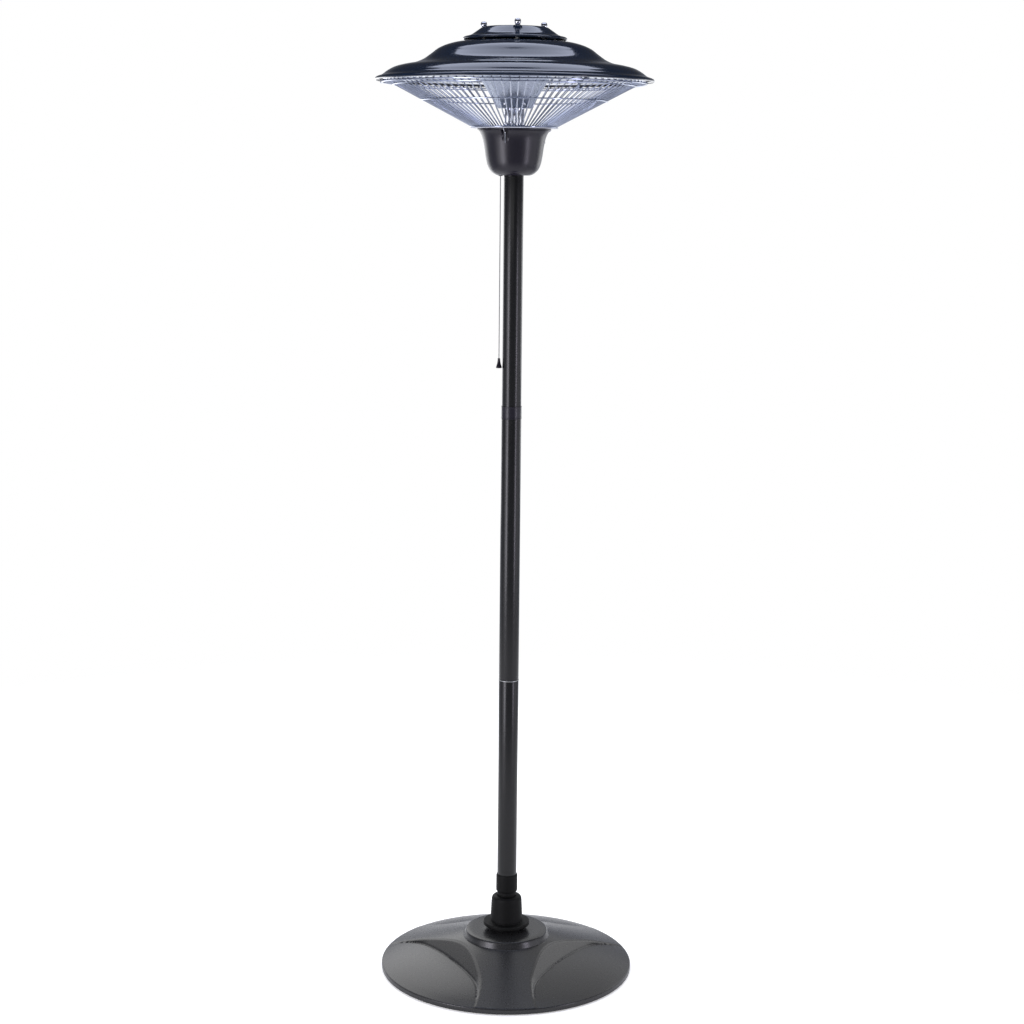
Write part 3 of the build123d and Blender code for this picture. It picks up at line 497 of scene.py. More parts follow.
finishes = {
    "base_plate": coated_tube,
    "socket_bolts": zinc,
    "pole_bush": nylon,
    "control_chassis": zinc,
    "tube_nuts": zinc,
    "lamp_leads": silicone,
    "hub_cup": rolled,
    "reflector_cone": rolled,
    "hub_column": zinc,
    "cap_spacers": zinc,
    "cap_studs": zinc,
    "stud_nuts": zinc,
    "lamp_bars": zinc,
    "lamp_standoffs": zinc,
    "switch_body": melamine,
    "switch_cover": melamine,
    "switch_rotor": melamine,
    "switch_lever": zinc,
    "lever_pin": zinc,
    "cord_hook": zinc,
    "return_spring": zinc,
    "terminal_block": ceramic,
    "tilt_switch": zinc,
    "thermal_cutout": zinc,
}
for node, finish in finishes.items():
    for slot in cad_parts[node].material_slots:
        slot.material = finish


# ---------------------------------------------------------------- base
dome_edge_height = 15
dome_slope = 0.3125
skirt_foot_height = 71.2
skirt_spread = 1.3
skirt_end = 104
petal_start = 101
petal_half_angle = math.radians(46)
petal_limit_angle = math.radians(59)
petal_floor_radii = (base_radius, 205, 120)
petal_floor_heights = (14.6, 33.5, 43)
petal_wall_foot = (143, 42)
petal_wall_run = 1.2
petal_corner = 14
petal_foot_round = 1.5
petal_edge_round = 1.2
groove_depth = 1.5
edge_groove_share = 0.5


def dome_height(radius):
    """Height of the dome: a cone from the rim, and inside it the skirt of the hub, which climbs
    from its foot f to the hub's height h as f + (h - f) / (1 + exp((r - hub radius) / spread))."""
    slope = dome_edge_height + (base_radius - radius) * dome_slope
    climb = 1 / (1 + np.exp((radius - hub_radius) / skirt_spread))
    skirt = skirt_foot_height + (hub_height - skirt_foot_height) * climb
    return np.where(radius < skirt_end, np.maximum(skirt, slope), slope)


def soft_min(a, b, blend):
    """The lower of two heights, with a round of size `blend` where they meet."""
    share = np.clip(0.5 + 0.5 * (b - a) / blend, 0, 1)
    return b * (1 - share) + a * share - blend * share * (1 - share)


def groove(difference):
    """Depth of a fine groove where two surfaces cross: depth * exp(-difference^2)."""
    return groove_depth * np.exp(-(difference**2))


def petal_height(radius, angle):
    """Height of a sunk petal at an angle to either side of its middle: a shallow floor, and round
    it a wall that slopes up inwards and to both sides, with its corners rounded."""
    floor = np.polyval(np.polyfit(petal_floor_radii, petal_floor_heights, 2), radius)
    out = radius * np.cos(angle)
    inner_wall = petal_wall_foot[1] - (out - petal_wall_foot[0]) / petal_wall_run
    side = radius * np.sin(petal_half_angle - angle)
    side_wall = dome_height(radius) - side / petal_wall_run
    wall = -soft_min(-inner_wall, -side_wall, petal_corner)
    return -soft_min(-floor, -wall, petal_foot_round) - groove(wall - floor)


def base_dome():
    """Polar grid of the moulded cover: height by radius and angle, with a bevelled rim, and
    inside it the hollow over the plate. The rings of points lie closest on the hub's skirt."""
    columns = 560
    bore = 38
    skirt_inside = 90
    skirt_outside = 103
    rim_inside = base_radius - 3
    angle = np.arange(columns) * TURN / columns
    hub_flat = np.linspace(bore, skirt_inside, 5)
    hub_skirt = np.arange(skirt_inside + 1, skirt_outside)
    slope = np.linspace(skirt_outside, rim_inside, 128)
    r, a = np.meshgrid(np.concatenate([hub_flat, hub_skirt, slope]), angle, indexing="ij")
    height = dome_height(r)
    for middle in petal_angles:
        off = np.abs((a - math.radians(middle) + math.pi) % TURN - math.pi)
        within = (off < petal_limit_angle) & (r > petal_start)
        petal = petal_height(r, off)
        sunk = soft_min(height, petal, petal_edge_round) - edge_groove_share * groove(height - petal)
        height = np.where(within, sunk, height)
    top = np.stack([r * np.cos(a), r * np.sin(a), height], axis=-1)
    rim = rounded(
        [
            (rim_inside, 16, 0),
            (base_radius, 13.2, 1.5),
            (base_radius, foot_height, 0.8),
            (rim_inside, foot_height, 0.5),
            (rim_inside, 11.5, 0),
        ],
        4,
    )
    hollow = [(279, 11.5), (205, 28.5), (100, 41), (84, 84), (bore, 84)]
    below = turned(np.concatenate([rim[4:], hollow]), columns)
    return np.concatenate([top, below])


piece("base_dome", [base_dome()], polypropylene, stands_for=["base_cover"], crease=50)

foot_count = 6
foot_circle = 262
foot = rounded(
    [
        (0, 0.3, 0),
        (9.5, 0, 2),
        (11, 1, 0.8),
        (11, foot_height, 0),
        (4, foot_height, 0),
        (4, foot_height + 6, 0),
        (0, foot_height + 6, 0),
    ]
)
feet = copies(moved(turned(foot, 40), foot_circle), foot_count, 30)
piece("rubber_pads", feet, rubber, stands_for=["rubber_feet"])

lead_bore = 3.5
grommet = rounded(
    [(lead_bore, -3, 0), (5, -3, 0), (5, 0, 0), (6, 0, 0.3), (6, 1.5, 0.7), (lead_bore, 1.5, 0.7)]
)
grommet_box = np.array(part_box("cable_grommet")) / MM
grommet_grid = aimed(turned(grommet, 40), (0, base_radius, grommet_box[:, 2].mean()), (0, 1, 0))
piece("inlet_bush", [grommet_grid], rubber, stands_for=["cable_grommet"])

socket_radius = 21.5
socket_foot = 11
flange_radius = 48
flange_top = 15
socket = rounded(
    [
        (socket_bore, socket_foot, 0),
        (flange_radius, socket_foot, 0),
        (flange_radius, flange_top, 1),
        (socket_radius, flange_top, 2),
        (socket_radius, socket_top, 0),
        (socket_bore, socket_top, 0),
    ]
)
piece("socket_tube", [turned(socket, 96)], matt, stands_for=["pole_socket"])

collar_neck = 37.7
collar_ring = 52.5
collar_top = 170
collar = rounded(
    [
        (collar_neck, hub_height, 0.6),
        (collar_neck, hub_height + 11, 0.8),
        (collar_ring, hub_height + 11, 1.2),
        (collar_ring, hub_height + 19, 2.0),
        (36.8, hub_height + 19, 1.2),
        (34.7, collar_top - 13, 4),
        (33.5, collar_top, 9),
        (sleeve_bore, collar_top, 0.8),
        (sleeve_bore, collar_top - 10, 0),
        (33, hub_height, 0),
    ],
    9,
)
piece("collar_shell", [turned(collar)], matt, stands_for=["base_collar"])


# ---------------------------------------------------------------- pole
def tube_outline(radius, low, high, wall=1.5, edge=0.4):
    """Outline of a plain tube with its ends eased."""
    inner = radius - wall
    outside = [(radius, low, edge), (radius, high, edge)]
    inside = [(inner, high, edge), (inner, low, edge)]
    return rounded(outside + inside, 4)


sleeve_low = 180
sleeve_top = 221
pole_bore = pole_radius + 0.05
sleeve = rounded(
    [
        (sleeve_bore, sleeve_low, 0.3),
        (22.6, sleeve_low, 0.5),
        (sleeve_radius, sleeve_low + 2.2, 0.8),
        (sleeve_radius, sleeve_top - 3, 1.0),
        (23.2, sleeve_top, 1.0),
        (pole_bore, sleeve_top, 0.3),
        (pole_bore, pole_foot, 0),
        (socket_bore, pole_foot, 0),
        (socket_bore, socket_top, 0),
        (sleeve_bore, socket_top, 0),
    ]
)
piece("sleeve_shell", [turned(sleeve, 96)], matt, stands_for=["pole_sleeve"])

bead_top = lower_joint + bead_height
for name, radius, low, high in (
    ("pole_lower", pole_radius, pole_foot, lower_joint),
    ("pole_middle", pole_radius, bead_top, upper_joint),
    ("pole_upper", upper_pole_radius, ferrule_top, pole_end),
):
    levels = turned(tube_outline(radius, low, high), 96)
    piece(name.replace("pole", "tube"), [levels], coated_tube, stands_for=[name])

bead = rounded(
    [
        (plug_radius, lower_joint - plug_length, 0),
        (plug_radius, lower_joint, 0),
        (bead_radius, lower_joint, 0.6),
        (bead_radius, bead_top, 0.6),
        (plug_radius, bead_top, 0),
        (plug_radius, bead_top + plug_length, 0),
        (plug_bore, bead_top + plug_length, 0),
        (plug_bore, lower_joint - plug_length, 0),
    ]
)
piece("joint_bead", [turned(bead, 96)], zinc, stands_for=["lower_coupler"])

upper_plug_radius = 19.8
ferrule_waist = 22.3
ferrule = rounded(
    [
        (plug_radius, upper_joint - plug_length, 0),
        (plug_radius, upper_joint, 0),
        (bead_radius, upper_joint, 0.5),
        (bead_radius, upper_joint + 2, 0.5),
        (ferrule_waist, upper_joint + 2.4, 0.2),
        (ferrule_waist, ferrule_top - 2.4, 0.2),
        (bead_radius, ferrule_top - 2, 0.5),
        (bead_radius, ferrule_top, 0.5),
        (upper_plug_radius, ferrule_top, 0),
        (upper_plug_radius, ferrule_top + plug_length, 0),
        (plug_bore, ferrule_top + plug_length, 0),
        (plug_bore, upper_joint - plug_length, 0),
    ]
)
piece("joint_ferrule", [turned(ferrule, 96)], nylon, stands_for=["upper_coupler"])

# One screw on each side of a joint, and two through the sleeve, all at the back.
screw_places = [
    (sleeve_radius, sleeve_low + 10),
    (sleeve_radius, sleeve_top - 9),
    (pole_radius, lower_joint - 27),
    (pole_radius, bead_top + 26),
    (pole_radius, upper_joint - 25),
    (upper_pole_radius, ferrule_top + 27.5),
]
screw_head = rounded([(0, 2.0, 0), (2.6, 2.0, 1.4), (3.6, 0, 0.3), (0, -1, 0)])
pole_screws = [
    aimed(turned(screw_head, 24), (0, radius - 0.2, height), (0, 1, 0))
    for radius, height in screw_places
]
piece("pole_screws", pole_screws, zinc)


# ---------------------------------------------------------------- control housing
recess_height = 1880
recess_radius = 66.6
recess_half_width = 6
recess_half_height = 12.5
recess_edge = 1.6


def bell():
    """The bell's outline turned about Z, with a recess behind each wire clip: inside a rectangle
    on the wall the radius is held to the recess's own, and fades back over its soft edge."""
    wall = flowing(
        [
            (34.4, 1797.9),
            (40.8, 1800.2),
            (47.4, 1804.6),
            (53.4, 1811.5),
            (58.3, 1823.0),
            (61.3, 1838.0),
            (64.1, 1857.0),
            (67.2, 1873.0),
            (71.2, 1884.5),
            (76.2, 1892.6),
        ],
        6,
    )
    lip = rounded(
        [
            (76, bell_top - 3.9, 0.4),
            (bell_lip, bell_top - 3.1, 0.6),
            (bell_lip, bell_top, 0.8),
            (73, bell_top, 0),
        ],
        5,
    )
    inside = offset_run(wall, bell_wall)[::-1]
    inside = inside[inside[:, 1] < bell_top - 4.5]
    floor = [(sleeve_bore, bell_bottom + bell_wall), (sleeve_bore, bell_bottom)]
    grid = turned(np.concatenate([wall, lip[:-4], inside, floor]), 360)
    angle = np.degrees(np.arctan2(grid[..., 1], grid[..., 0]))
    radius = np.hypot(grid[..., 0], grid[..., 1])
    row = np.arange(len(grid))[:, None]
    recess_floor = np.where(row < len(wall), recess_radius, recess_radius - bell_wall)
    wall_radius = 68
    for k in range(clip_count):
        middle = clip_first + 360 * k / clip_count
        across = np.radians((angle - middle + 180) % 360 - 180) * wall_radius
        up = grid[..., 2] - recess_height
        edge = np.maximum(np.abs(across) - recess_half_width, np.abs(up) - recess_half_height)
        share = np.clip(0.5 - edge / recess_edge, 0, 1)
        sunk = np.minimum(radius, recess_floor)
        grid[..., :2] *= (1 + share * (sunk / radius - 1))[..., None]
    return grid


piece("bell_shell", [bell()], nylon, stands_for=["bell_housing"])

plate_bore = 10
plate = rounded(
    [
        (plate_bore, bell_top, 0),
        (plate_radius, bell_top, 0.4),
        (plate_radius, plate_top, 0.4),
        (plate_bore, plate_top, 0),
    ]
)
piece("floor_disc", [turned(plate)], lacquer, stands_for=["guard_floor_plate"])

eyelet_bore = 1.6
eyelet_stem = 3
eyelet_flange = 4.6
eyelet = rounded(
    [
        (eyelet_bore, bell_bottom - 1.4, 0.4),
        (eyelet_flange, bell_bottom - 1.4, 0.7),
        (eyelet_flange, bell_bottom, 0),
        (eyelet_stem, bell_bottom, 0),
        (eyelet_stem, bell_bottom + 5.5, 0),
        (eyelet_bore, bell_bottom + 5.5, 0),
    ]
)
piece("cord_bush", [moved(turned(eyelet, 40), cord_x, cord_y)], nylon, stands_for=["cord_eyelet"])

# Three tubes carry the head on the plate.
carrier_count = 3
carrier_radius = 8
carrier_circle = 16
carrier_low = bell_top - 10.5
carrier_top = 1945
carrier = turned(tube_outline(carrier_radius, carrier_low, carrier_top, wall=1), 48)
carriers = copies(moved(carrier, carrier_circle), carrier_count, 90)
piece("carrier_tubes", carriers, chrome, stands_for=["support_tubes"])

# ---------------------------------------------------------------- lamp head
# The centre reflector is a cone of flats; a screw sits square on every second one.
cone_flats = 12
cone_low = (36.5, 1940)
cone_high = (105, 2045)
screw_height = 1947.5
flat_share = math.cos(math.pi / cone_flats)
cone_rise = cone_high[1] - cone_low[1]
cone_spread = cone_high[0] - cone_low[0]
lean = math.atan(flat_share * cone_spread / cone_rise)
screw_reach = flat_share * (cone_low[0] + (screw_height - cone_low[1]) / cone_rise * cone_spread)
dome_screw = rounded([(0, 3.0, 0), (3.2, 3.0, 2.2), (4.4, 0, 0.5), (0, -0.5, 0)], 8)
facing = (math.cos(lean), 0, -math.sin(lean))
cone_screw = aimed(turned(dome_screw, 32), (screw_reach, 0, screw_height), facing)
cone_screws = copies(cone_screw, cone_flats // 2)
piece("reflector_screws", cone_screws, chrome, stands_for=["cone_screws"])

shade_run = flowing(
    [
        (62, shade_top),
        (90, shade_top),
        (118, 2078.2),
        (143, 2072.8),
        (163.5, 2064.2),
        (180, 2052.0),
        (197, 2040.4),
        (216, 2033.0),
        (238, 2028.9),
        (258, 2023.6),
        (273, 2015.6),
        (284, 2007.6),
        (294.5, 2003.6),
        (298.6, 2001.0),
        (299.6, 1997.4),
        (298.0, 1995.8),
    ],
    6,
)
shade_grid = turned(sheet_outline(shade_run, shade_sheet), 256)
piece("shade_shell", [shade_grid], enamel, stands_for=["shade"], crease=60)

dish_run = flowing(
    [
        (106, 2046.8),
        (112, 2053.0),
        (122, 2057.4),
        (138, 2059.0),
        (156, 2055.6),
        (180, 2042.0),
        (210, 2030.5),
        (245, 2018.2),
        (270, 2008.2),
        (284, 2001.6),
    ],
    6,
)
dish_grid = turned(sheet_outline(dish_run, dish_sheet), 256)
piece("dish_shell", [dish_grid], aluminium, stands_for=["reflector_dish"], crease=60)


pad_radius = 10
pad_edge = 4


def cap():
    """The cap's outline turned about Z, with flat pads raised for the ball nuts: near a nut the
    height is drawn up to the crown's by an S-curve s^2 (3 - 2s)."""
    run = flowing(
        [
            (0, cap_top),
            (30, cap_top),
            (60, 2109.9),
            (68, 2109.4),
            (73.5, 2106.8),
            (84, 2099.6),
            (93, 2093.6),
            (100, 2090.9),
            (108, 2088.9),
            (110.8, 2087.0),
            (111.4, 2084.8),
            (110.2, 2083.0),
        ],
        10,
    )
    grid = turned(sheet_outline(run, shade_sheet), 480)
    under = np.arange(len(grid))[:, None] >= len(run)
    crown = np.where(under, cap_top - shade_sheet, cap_top)
    for k in range(stud_count):
        a = math.radians(stud_first + 360 * k / stud_count)
        stud_x = stud_circle * math.cos(a)
        stud_y = stud_circle * math.sin(a)
        away = np.hypot(grid[..., 0] - stud_x, grid[..., 1] - stud_y)
        s = np.clip((pad_radius - away) / pad_edge, 0, 1)
        lift = s * s * (3 - 2 * s)
        grid[..., 2] += lift * (crown - grid[..., 2])
    return grid


piece("cap_shell", [cap()], enamel, stands_for=["vent_cap"], crease=60)

nut_top = cap_top + 13.2
nut_seat = cap_top + 0.8
nut_radius = 6.9
ball_nut = rounded(
    [
        (0, nut_top, 0),
        (nut_radius, nut_top, 6.2),
        (nut_radius, nut_seat, 5.4),
        (5.0, nut_seat, 0.2),
        (5.2, cap_top, 0),
        (0, cap_top, 0),
    ],
    10,
)
ball_nuts = copies(moved(turned(ball_nut, 40), stud_circle), stud_count, stud_first)
piece("ball_nuts", ball_nuts, chrome, stands_for=["acorn_nuts"])

# ---------------------------------------------------------------- lamps
def along_lamp(grid):
    """Copies of what lies along Y, one at each side of the lamps' triangle."""
    return copies(moved(grid, lamp_circle, 0, lamp_height), lamp_count, 90)


lamp_radius = 5
lamp_tip_radius = 3.4
lamp_shoulder = lamp_reach - 9
lamp_skin = rounded(
    [
        (0, -lamp_reach, 0),
        (lamp_tip_radius, -lamp_reach, 1),
        (lamp_radius, -lamp_shoulder, 4),
        (lamp_radius, lamp_shoulder, 4),
        (lamp_tip_radius, lamp_reach, 1),
        (0, lamp_reach, 0),
    ]
)
lamp_grid = aimed(turned(lamp_skin, 28), (0, 0, 0), (0, 1, 0))
piece("lamp_tubes", along_lamp(lamp_grid), quartz, stands_for=["quartz_lamps"])

coil_turns = 52
coil_radius = 1.5
coil_reach = lamp_reach - 12
coil_wire_radius = 0.35
phase = np.linspace(0, coil_turns * TURN, coil_turns * 12)
advance = np.linspace(-coil_reach, coil_reach, phase.size)
coil_line = np.stack([coil_radius * np.cos(phase), advance, coil_radius * np.sin(phase)], axis=1)
coils = along_lamp(carried(coil_line, coil_wire_radius, 5))
open_piece("lamp_coils", coils, hot_wire, stands_for=["lamp_filaments"])

holder_width = 16
holder_height = 13
holder_inner_end = lamp_reach - 6
holder_outer_end = lamp_reach + 10
half_width = holder_width / 2
half_height = holder_height / 2
holder = rounded(
    [
        (-half_width, -half_height, 1),
        (half_width, -half_height, 1),
        (half_width, half_height, 0.5),
        (-half_width, half_height, 0.5),
    ],
    4,
)


def holder_block(low_y, high_y):
    """The holder's outline in XZ carried along Y, drawn in a little at both ends."""
    drawn_in = 0.93
    bevel = 0.7
    rows = []
    for y, share in (
        (low_y, drawn_in),
        (low_y + bevel, 1),
        (high_y - bevel, 1),
        (high_y, drawn_in),
    ):
        along = np.full(len(holder), y)
        rows.append(np.stack([holder[:, 0] * share, along, holder[:, 1] * share], axis=1))
    return np.stack(rows)


far_ends = along_lamp(holder_block(holder_inner_end, holder_outer_end))
near_ends = along_lamp(holder_block(-holder_outer_end, -holder_inner_end))
open_piece("lamp_end_blocks", far_ends + near_ends, ceramic, stands_for=["lamp_holders"])

# ---------------------------------------------------------------- wire guard
wire_low = (93.2, 1902.2)
wire_bend = (262, 1990.3)
wire_top = (285, 1994.8)
bend_cut = 6
bend = rounded([(*wire_low, 0), (*wire_bend, bend_cut), (*wire_top, 0)])[6:12]
wire_run = np.array([wire_low, *bend, wire_top])
wire_path = np.stack([wire_run[:, 0], 0 * wire_run[:, 0], wire_run[:, 1]], axis=1)
wires = copies(carried(wire_path, wire_radius, 8), wire_count, 180 / wire_count)
open_piece("guard_spokes", wires, wire_chrome, stands_for=["guard_wires"])


def hoop(radius, height):
    """A ring: a circle of the rings' wire turned about Z at a radius and height."""
    angle = np.arange(10) * TURN / 10
    across = radius + ring_radius * np.cos(angle)
    up = height + ring_radius * np.sin(angle)
    return turned(np.stack([across, up], axis=1), 240)


# The rings run from the plate out to the rim. The second hangs under the straight part of the
# wires.
second_ring = 200
ring_drop = 2.4
wire_rise = (wire_bend[1] - wire_low[1]) / (wire_bend[0] - wire_low[0])
second_ring_height = wire_low[1] + (second_ring - wire_low[0]) * wire_rise - ring_drop
hoops = [
    hoop(92.8, 1900.5),
    hoop(second_ring, second_ring_height),
    hoop(260.5, 1987.2),
    hoop(283.6, 1992.2),
]
piece("guard_hoops", hoops, wire_chrome, stands_for=["guard_rings"])


def strap(path, width, thickness):
    """A flat strap: a rectangle of width and thickness carried along a path in XZ."""
    path = np.asarray(path, float)
    ahead = np.gradient(path, axis=0)
    ahead /= np.linalg.norm(ahead, axis=1, keepdims=True)
    out = np.stack([-ahead[:, 2], 0 * ahead[:, 0], ahead[:, 0]], axis=1) * thickness / 2
    side = np.array([0, width / 2, 0])
    corners = [path + out + side, path + out - side, path - out - side, path - out + side]
    return np.stack(corners, axis=1)


hook_count = 3
hook_width = 8
hook_thickness = 1.2
hook_run = flowing([(279, 0, 1990), (286.2, 0, 1990), (287.2, 0, 1991.5), (287.2, 0, 2000.2)], 5)
hooks = copies(strap(hook_run, hook_width, hook_thickness), hook_count, 180)
open_piece("rim_straps", hooks, wire_chrome, stands_for=["rim_hooks"])

clip_radius = 1.1
clip_run = flowing(
    [
        (68.2, 0, 1866),
        (68.4, 0, 1880),
        (70.6, 0, 1889),
        (80.8, 0, 1893.2),
        (81.4, 0, 1897.4),
    ],
    6,
)
clips = copies(carried(clip_run, clip_radius, 8), clip_count, clip_first)
open_piece("guard_wire_clips", clips, chrome, stands_for=["guard_clips"])

# ---------------------------------------------------------------- pull cord and knob
# The cord's heights are metres, as its box gives them. Its points lie closer near both ends.
cord_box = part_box("pull_cord")
cord_top = cord_box[1][2]
cord_low = cord_box[0][2]
cord_places = [
    cord_top,
    cord_top - 0.012,
    cord_top - 0.1,
    (cord_top + cord_low) / 2,
    cord_low + 0.1,
    cord_low,
]
line = bpy.data.curves.new("pull_line", "CURVE")
line.dimensions = "3D"
spline = line.splines.new("NURBS")
spline.points.add(len(cord_places) - 1)
for point, height in zip(spline.points, cord_places):
    point.co = (cord_x * MM, cord_y * MM, height, 1)
spline.order_u = 3
spline.use_endpoint_u = True
line.bevel_depth = cord_diameter / 2 * MM
line.bevel_resolution = 4
line.resolution_u = 16
line.use_fill_caps = True
line.materials.append(braid)
pull_line = bpy.data.objects.new("pull_line", line)
bpy.context.scene.collection.objects.link(pull_line)
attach(pull_line, "pull")
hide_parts("pull_cord")

knob_run = rounded(
    [
        (0.8, knob_top, 0),
        (2.75, knob_top, 0.6),
        (2.9, knob_top - 5, 2),
        (4.0, knob_top - 12.5, 4),
        (6.45, knob_low + 3, 2.5),
        (6.3, knob_low, 0.9),
        (0, knob_low + 0.3, 0),
        (0, knob_low + 6, 0),
    ],
    8,
)
knob = piece("knob_shell", [moved(turned(knob_run, 48), cord_x, cord_y)], nylon, "pull", ["pull_knob"])

# ---------------------------------------------------------------- stage, light and camera
# Lengths here are metres. The floor is whole as far as floor_solid and gone at floor_end;
# floor_lift is the share of white that it shows the camera on top of the light it gets.
floor_lift = 0.34
floor_solid = 1.6
floor_end = 3.2
even_light = 0.5
cloth_radius = 8


def paper_floor():
    """White paper sweep: matt near the heater, where it takes the shadow. Past it and from below
    it is out of sight, and the surround shows instead."""
    white = linear("#ffffff")
    material, shader = surface(
        "paper_floor", Roughness=0.9, Base_Color=white, Emission_Color=white
    )
    rays = add(material, "ShaderNodeLightPath")
    lift = add(material, "ShaderNodeMath", [(rays, "Is Camera Ray", 0)], operation="MULTIPLY")
    lift.inputs[1].default_value = floor_lift
    join(material, lift, 0, shader, "Emission Strength")
    place = add(material, "ShaderNodeTexCoord")
    away = add(material, "ShaderNodeVectorMath", [(place, "Object", 0)], operation="LENGTH")
    fade = add(
        material,
        "ShaderNodeMapRange",
        [(away, "Value", "Value")],
        From_Min=floor_solid,
        From_Max=floor_end,
        interpolation_type="SMOOTHSTEP",
    )
    side = add(material, "ShaderNodeNewGeometry")
    unseen = add(
        material,
        "ShaderNodeMath",
        [(fade, "Result", 0), (side, "Backfacing", 1)],
        operation="MAXIMUM",
    )
    clear = add(material, "ShaderNodeBsdfTransparent")
    mix = add(material, "ShaderNodeMixShader", [(unseen, 0, 0), (shader, 0, 1), (clear, 0, 2)])
    join(material, mix, 0, material.node_tree.nodes["Material Output"], "Surface")
    mesh = bpy.data.meshes.new("studio_floor")
    corners = [
        (-floor_end, -floor_end, 0),
        (floor_end, -floor_end, 0),
        (floor_end, floor_end, 0),
        (-floor_end, floor_end, 0),
    ]
    mesh.from_pydata(corners, [], [(0, 1, 2, 3)])
    mesh.materials.append(material)
    floor = bpy.data.objects.new("studio_floor", mesh)
    bpy.context.scene.collection.objects.link(floor)


def studio_cloth():
    """A globe of dark cloth round the studio, which shows only in polished surfaces. It is dense
    overhead and in front, and thin low down behind the heater, where the white shows through."""
    material = bpy.data.materials.new("studio_cloth")
    material.use_nodes = True
    material.node_tree.nodes.remove(material.node_tree.nodes["Principled BSDF"])
    place = add(material, "ShaderNodeTexCoord")
    parts = add(material, "ShaderNodeSeparateXYZ", [(place, "Object", "Vector")])
    low = add(
        material,
        "ShaderNodeMapRange",
        [(parts, "Z", "Value")],
        From_Min=0.0,
        From_Max=0.6 * cloth_radius,
        To_Min=1.0,
        To_Max=0.08,
        interpolation_type="SMOOTHSTEP",
    )
    behind = add(
        material,
        "ShaderNodeMapRange",
        [(parts, "Y", "Value")],
        From_Min=-0.9 * cloth_radius,
        From_Max=0.5 * cloth_radius,
        To_Min=0.4,
        To_Max=0.7,
        interpolation_type="SMOOTHSTEP",
    )
    thin = add(material, "ShaderNodeMath", [(low, 0, 0), (behind, 0, 1)], operation="MULTIPLY")
    clear = add(material, "ShaderNodeBsdfTransparent", Color=linear("#d9ddea"))
    dark = add(material, "ShaderNodeEmission", Strength=0.0)
    mix = add(material, "ShaderNodeMixShader", [(thin, 0, 0), (dark, 0, 1), (clear, 0, 2)])
    join(material, mix, 0, material.node_tree.nodes["Material Output"], "Surface")
    mesh = bpy.data.meshes.new("studio_cloth")
    globe = bmesh.new()
    bmesh.ops.create_icosphere(globe, subdivisions=4, radius=cloth_radius)
    globe.to_mesh(mesh)
    globe.free()
    mesh.materials.append(material)
    cloth = bpy.data.objects.new("studio_cloth", mesh)
    cloth.visible_camera = False
    cloth.visible_diffuse = False
    cloth.visible_transmission = False
    cloth.visible_shadow = False
    bpy.context.scene.collection.objects.link(cloth)


def surround():
    """White to the camera and in polished or clear surfaces, and a plain even light on the rest."""
    world = bpy.data.worlds.new("studio")
    bpy.context.scene.world = world
    world.use_nodes = True
    world.node_tree.nodes.clear()
    even = add(world, "ShaderNodeBackground", Color=(1, 1, 1, 1), Strength=even_light)
    shown = add(world, "ShaderNodeBackground", Color=(1, 1, 1, 1), Strength=1.0)
    rays = add(world, "ShaderNodeLightPath")
    polished = add(
        world,
        "ShaderNodeMath",
        [(rays, "Is Glossy Ray", 0), (rays, "Is Transmission Ray", 1)],
        operation="MAXIMUM",
    )
    seen = add(
        world,
        "ShaderNodeMath",
        [(rays, "Is Camera Ray", 0), (polished, 0, 1)],
        operation="MAXIMUM",
    )
    mix = add(world, "ShaderNodeMixShader", [(seen, 0, 0), (even, 0, 1), (shown, 0, 2)])
    out = add(world, "ShaderNodeOutputWorld")
    join(world, mix, 0, out, "Surface")


def softbox(name, place, aim, size, radiance, colour="#ffffff"):
    """A soft lamp of a real size in metres, aimed at a point. Its power is pi times its area times
    its radiance."""
    light = bpy.data.lights.new(name, "AREA")
    light.shape = "RECTANGLE"
    light.size, light.size_y = size
    light.energy = math.pi * size[0] * size[1] * radiance
    light.color = linear(colour)[:3]
    lamp = bpy.data.objects.new(name, light)
    lamp.location = place
    lamp.rotation_euler = (Vector(aim) - Vector(place)).to_track_quat("-Z", "Y").to_euler()
    lamp.visible_camera = False
    bpy.context.scene.collection.objects.link(lamp)


paper_floor()
studio_cloth()
surround()

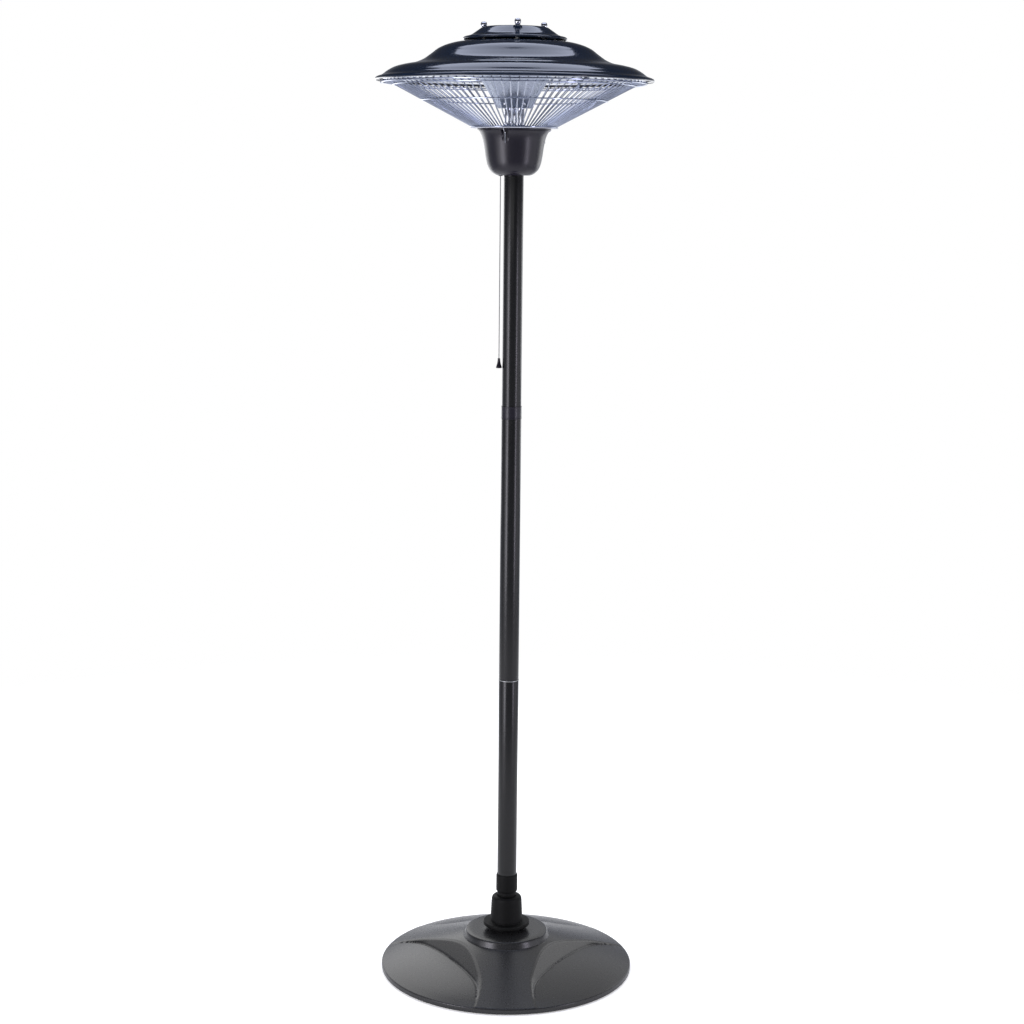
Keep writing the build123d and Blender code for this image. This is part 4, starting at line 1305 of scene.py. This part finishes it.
# Four panels over the head, a wide one and a narrower, brighter one at each side, a shallow one
# in front at head height, and three behind. Each has its place, the point it is aimed at, its
# size, its radiance and, where it isn't white, its colour.
cool_white = "#d3daf0"
softbox("overhead", (0.0, 1.35, 4.6), (0, 0, 2.0), (2.6, 1.5), 2.4, cool_white)
softbox("overhead_front", (0.0, -1.35, 4.6), (0, 0, 2.0), (2.6, 1.5), 1.6, cool_white)
softbox("overhead_left", (-1.9, 0.0, 4.6), (0, 0, 2.0), (1.5, 2.0), 1.6, cool_white)
softbox("overhead_right", (1.9, 0.0, 4.6), (0, 0, 2.0), (1.5, 2.0), 1.6, cool_white)
softbox("left_wide", (-2.3, -1.75, 0.95), (0, 0, 1.0), (2.2, 1.9), 1.7, "#f1eff6")
softbox("left_core", (-2.1, -2.0, 0.95), (0, 0, 1.0), (0.9, 1.7), 6.0, "#efecf8")
softbox("right_wide", (2.7, -0.9, 0.95), (0, 0, 1.0), (3.0, 1.9), 0.9, "#eceaf2")
softbox("right_core", (2.3, -1.6, 0.95), (0, 0, 1.0), (0.4, 1.5), 8.0, "#e6e0f4")
softbox("front_low", (-1.0, -3.2, 2.02), (0, 0, 1.95), (3.4, 0.36), 1.6)
softbox("back_wide", (0, 1.5, 1.4), (0, 0, 0.1), (3.4, 1.8), 0.7)
softbox("back_left", (-1.1, 1.9, 1.35), (0, 0, 0.0), (1.8, 1.8), 1.2)
softbox("back_right", (1.75, 1.45, 1.35), (0, 0, 0.0), (1.0, 1.0), 1.7)

camera_distance = 4.377
camera_height = 1.810
camera_side = 0.0035
camera_pitch = 9.7133
camera_roll = 0.576
camera_lens = 70.29
camera_sensor = 36
camera_data = bpy.data.cameras.new("photo_view")
camera_data.lens = camera_lens
camera_data.sensor_width = camera_sensor
camera = bpy.data.objects.new("photo_view", camera_data)
tilt = Matrix.Rotation(math.radians(90 - camera_pitch), 4, "X")
roll = Matrix.Rotation(math.radians(camera_roll), 4, "Z")
stand = Matrix.Translation((camera_side, -camera_distance, camera_height))
camera.matrix_world = stand @ tilt @ roll
bpy.context.scene.collection.objects.link(camera)
bpy.context.scene.camera = camera
bpy.context.scene.view_settings.view_transform = "Standard"
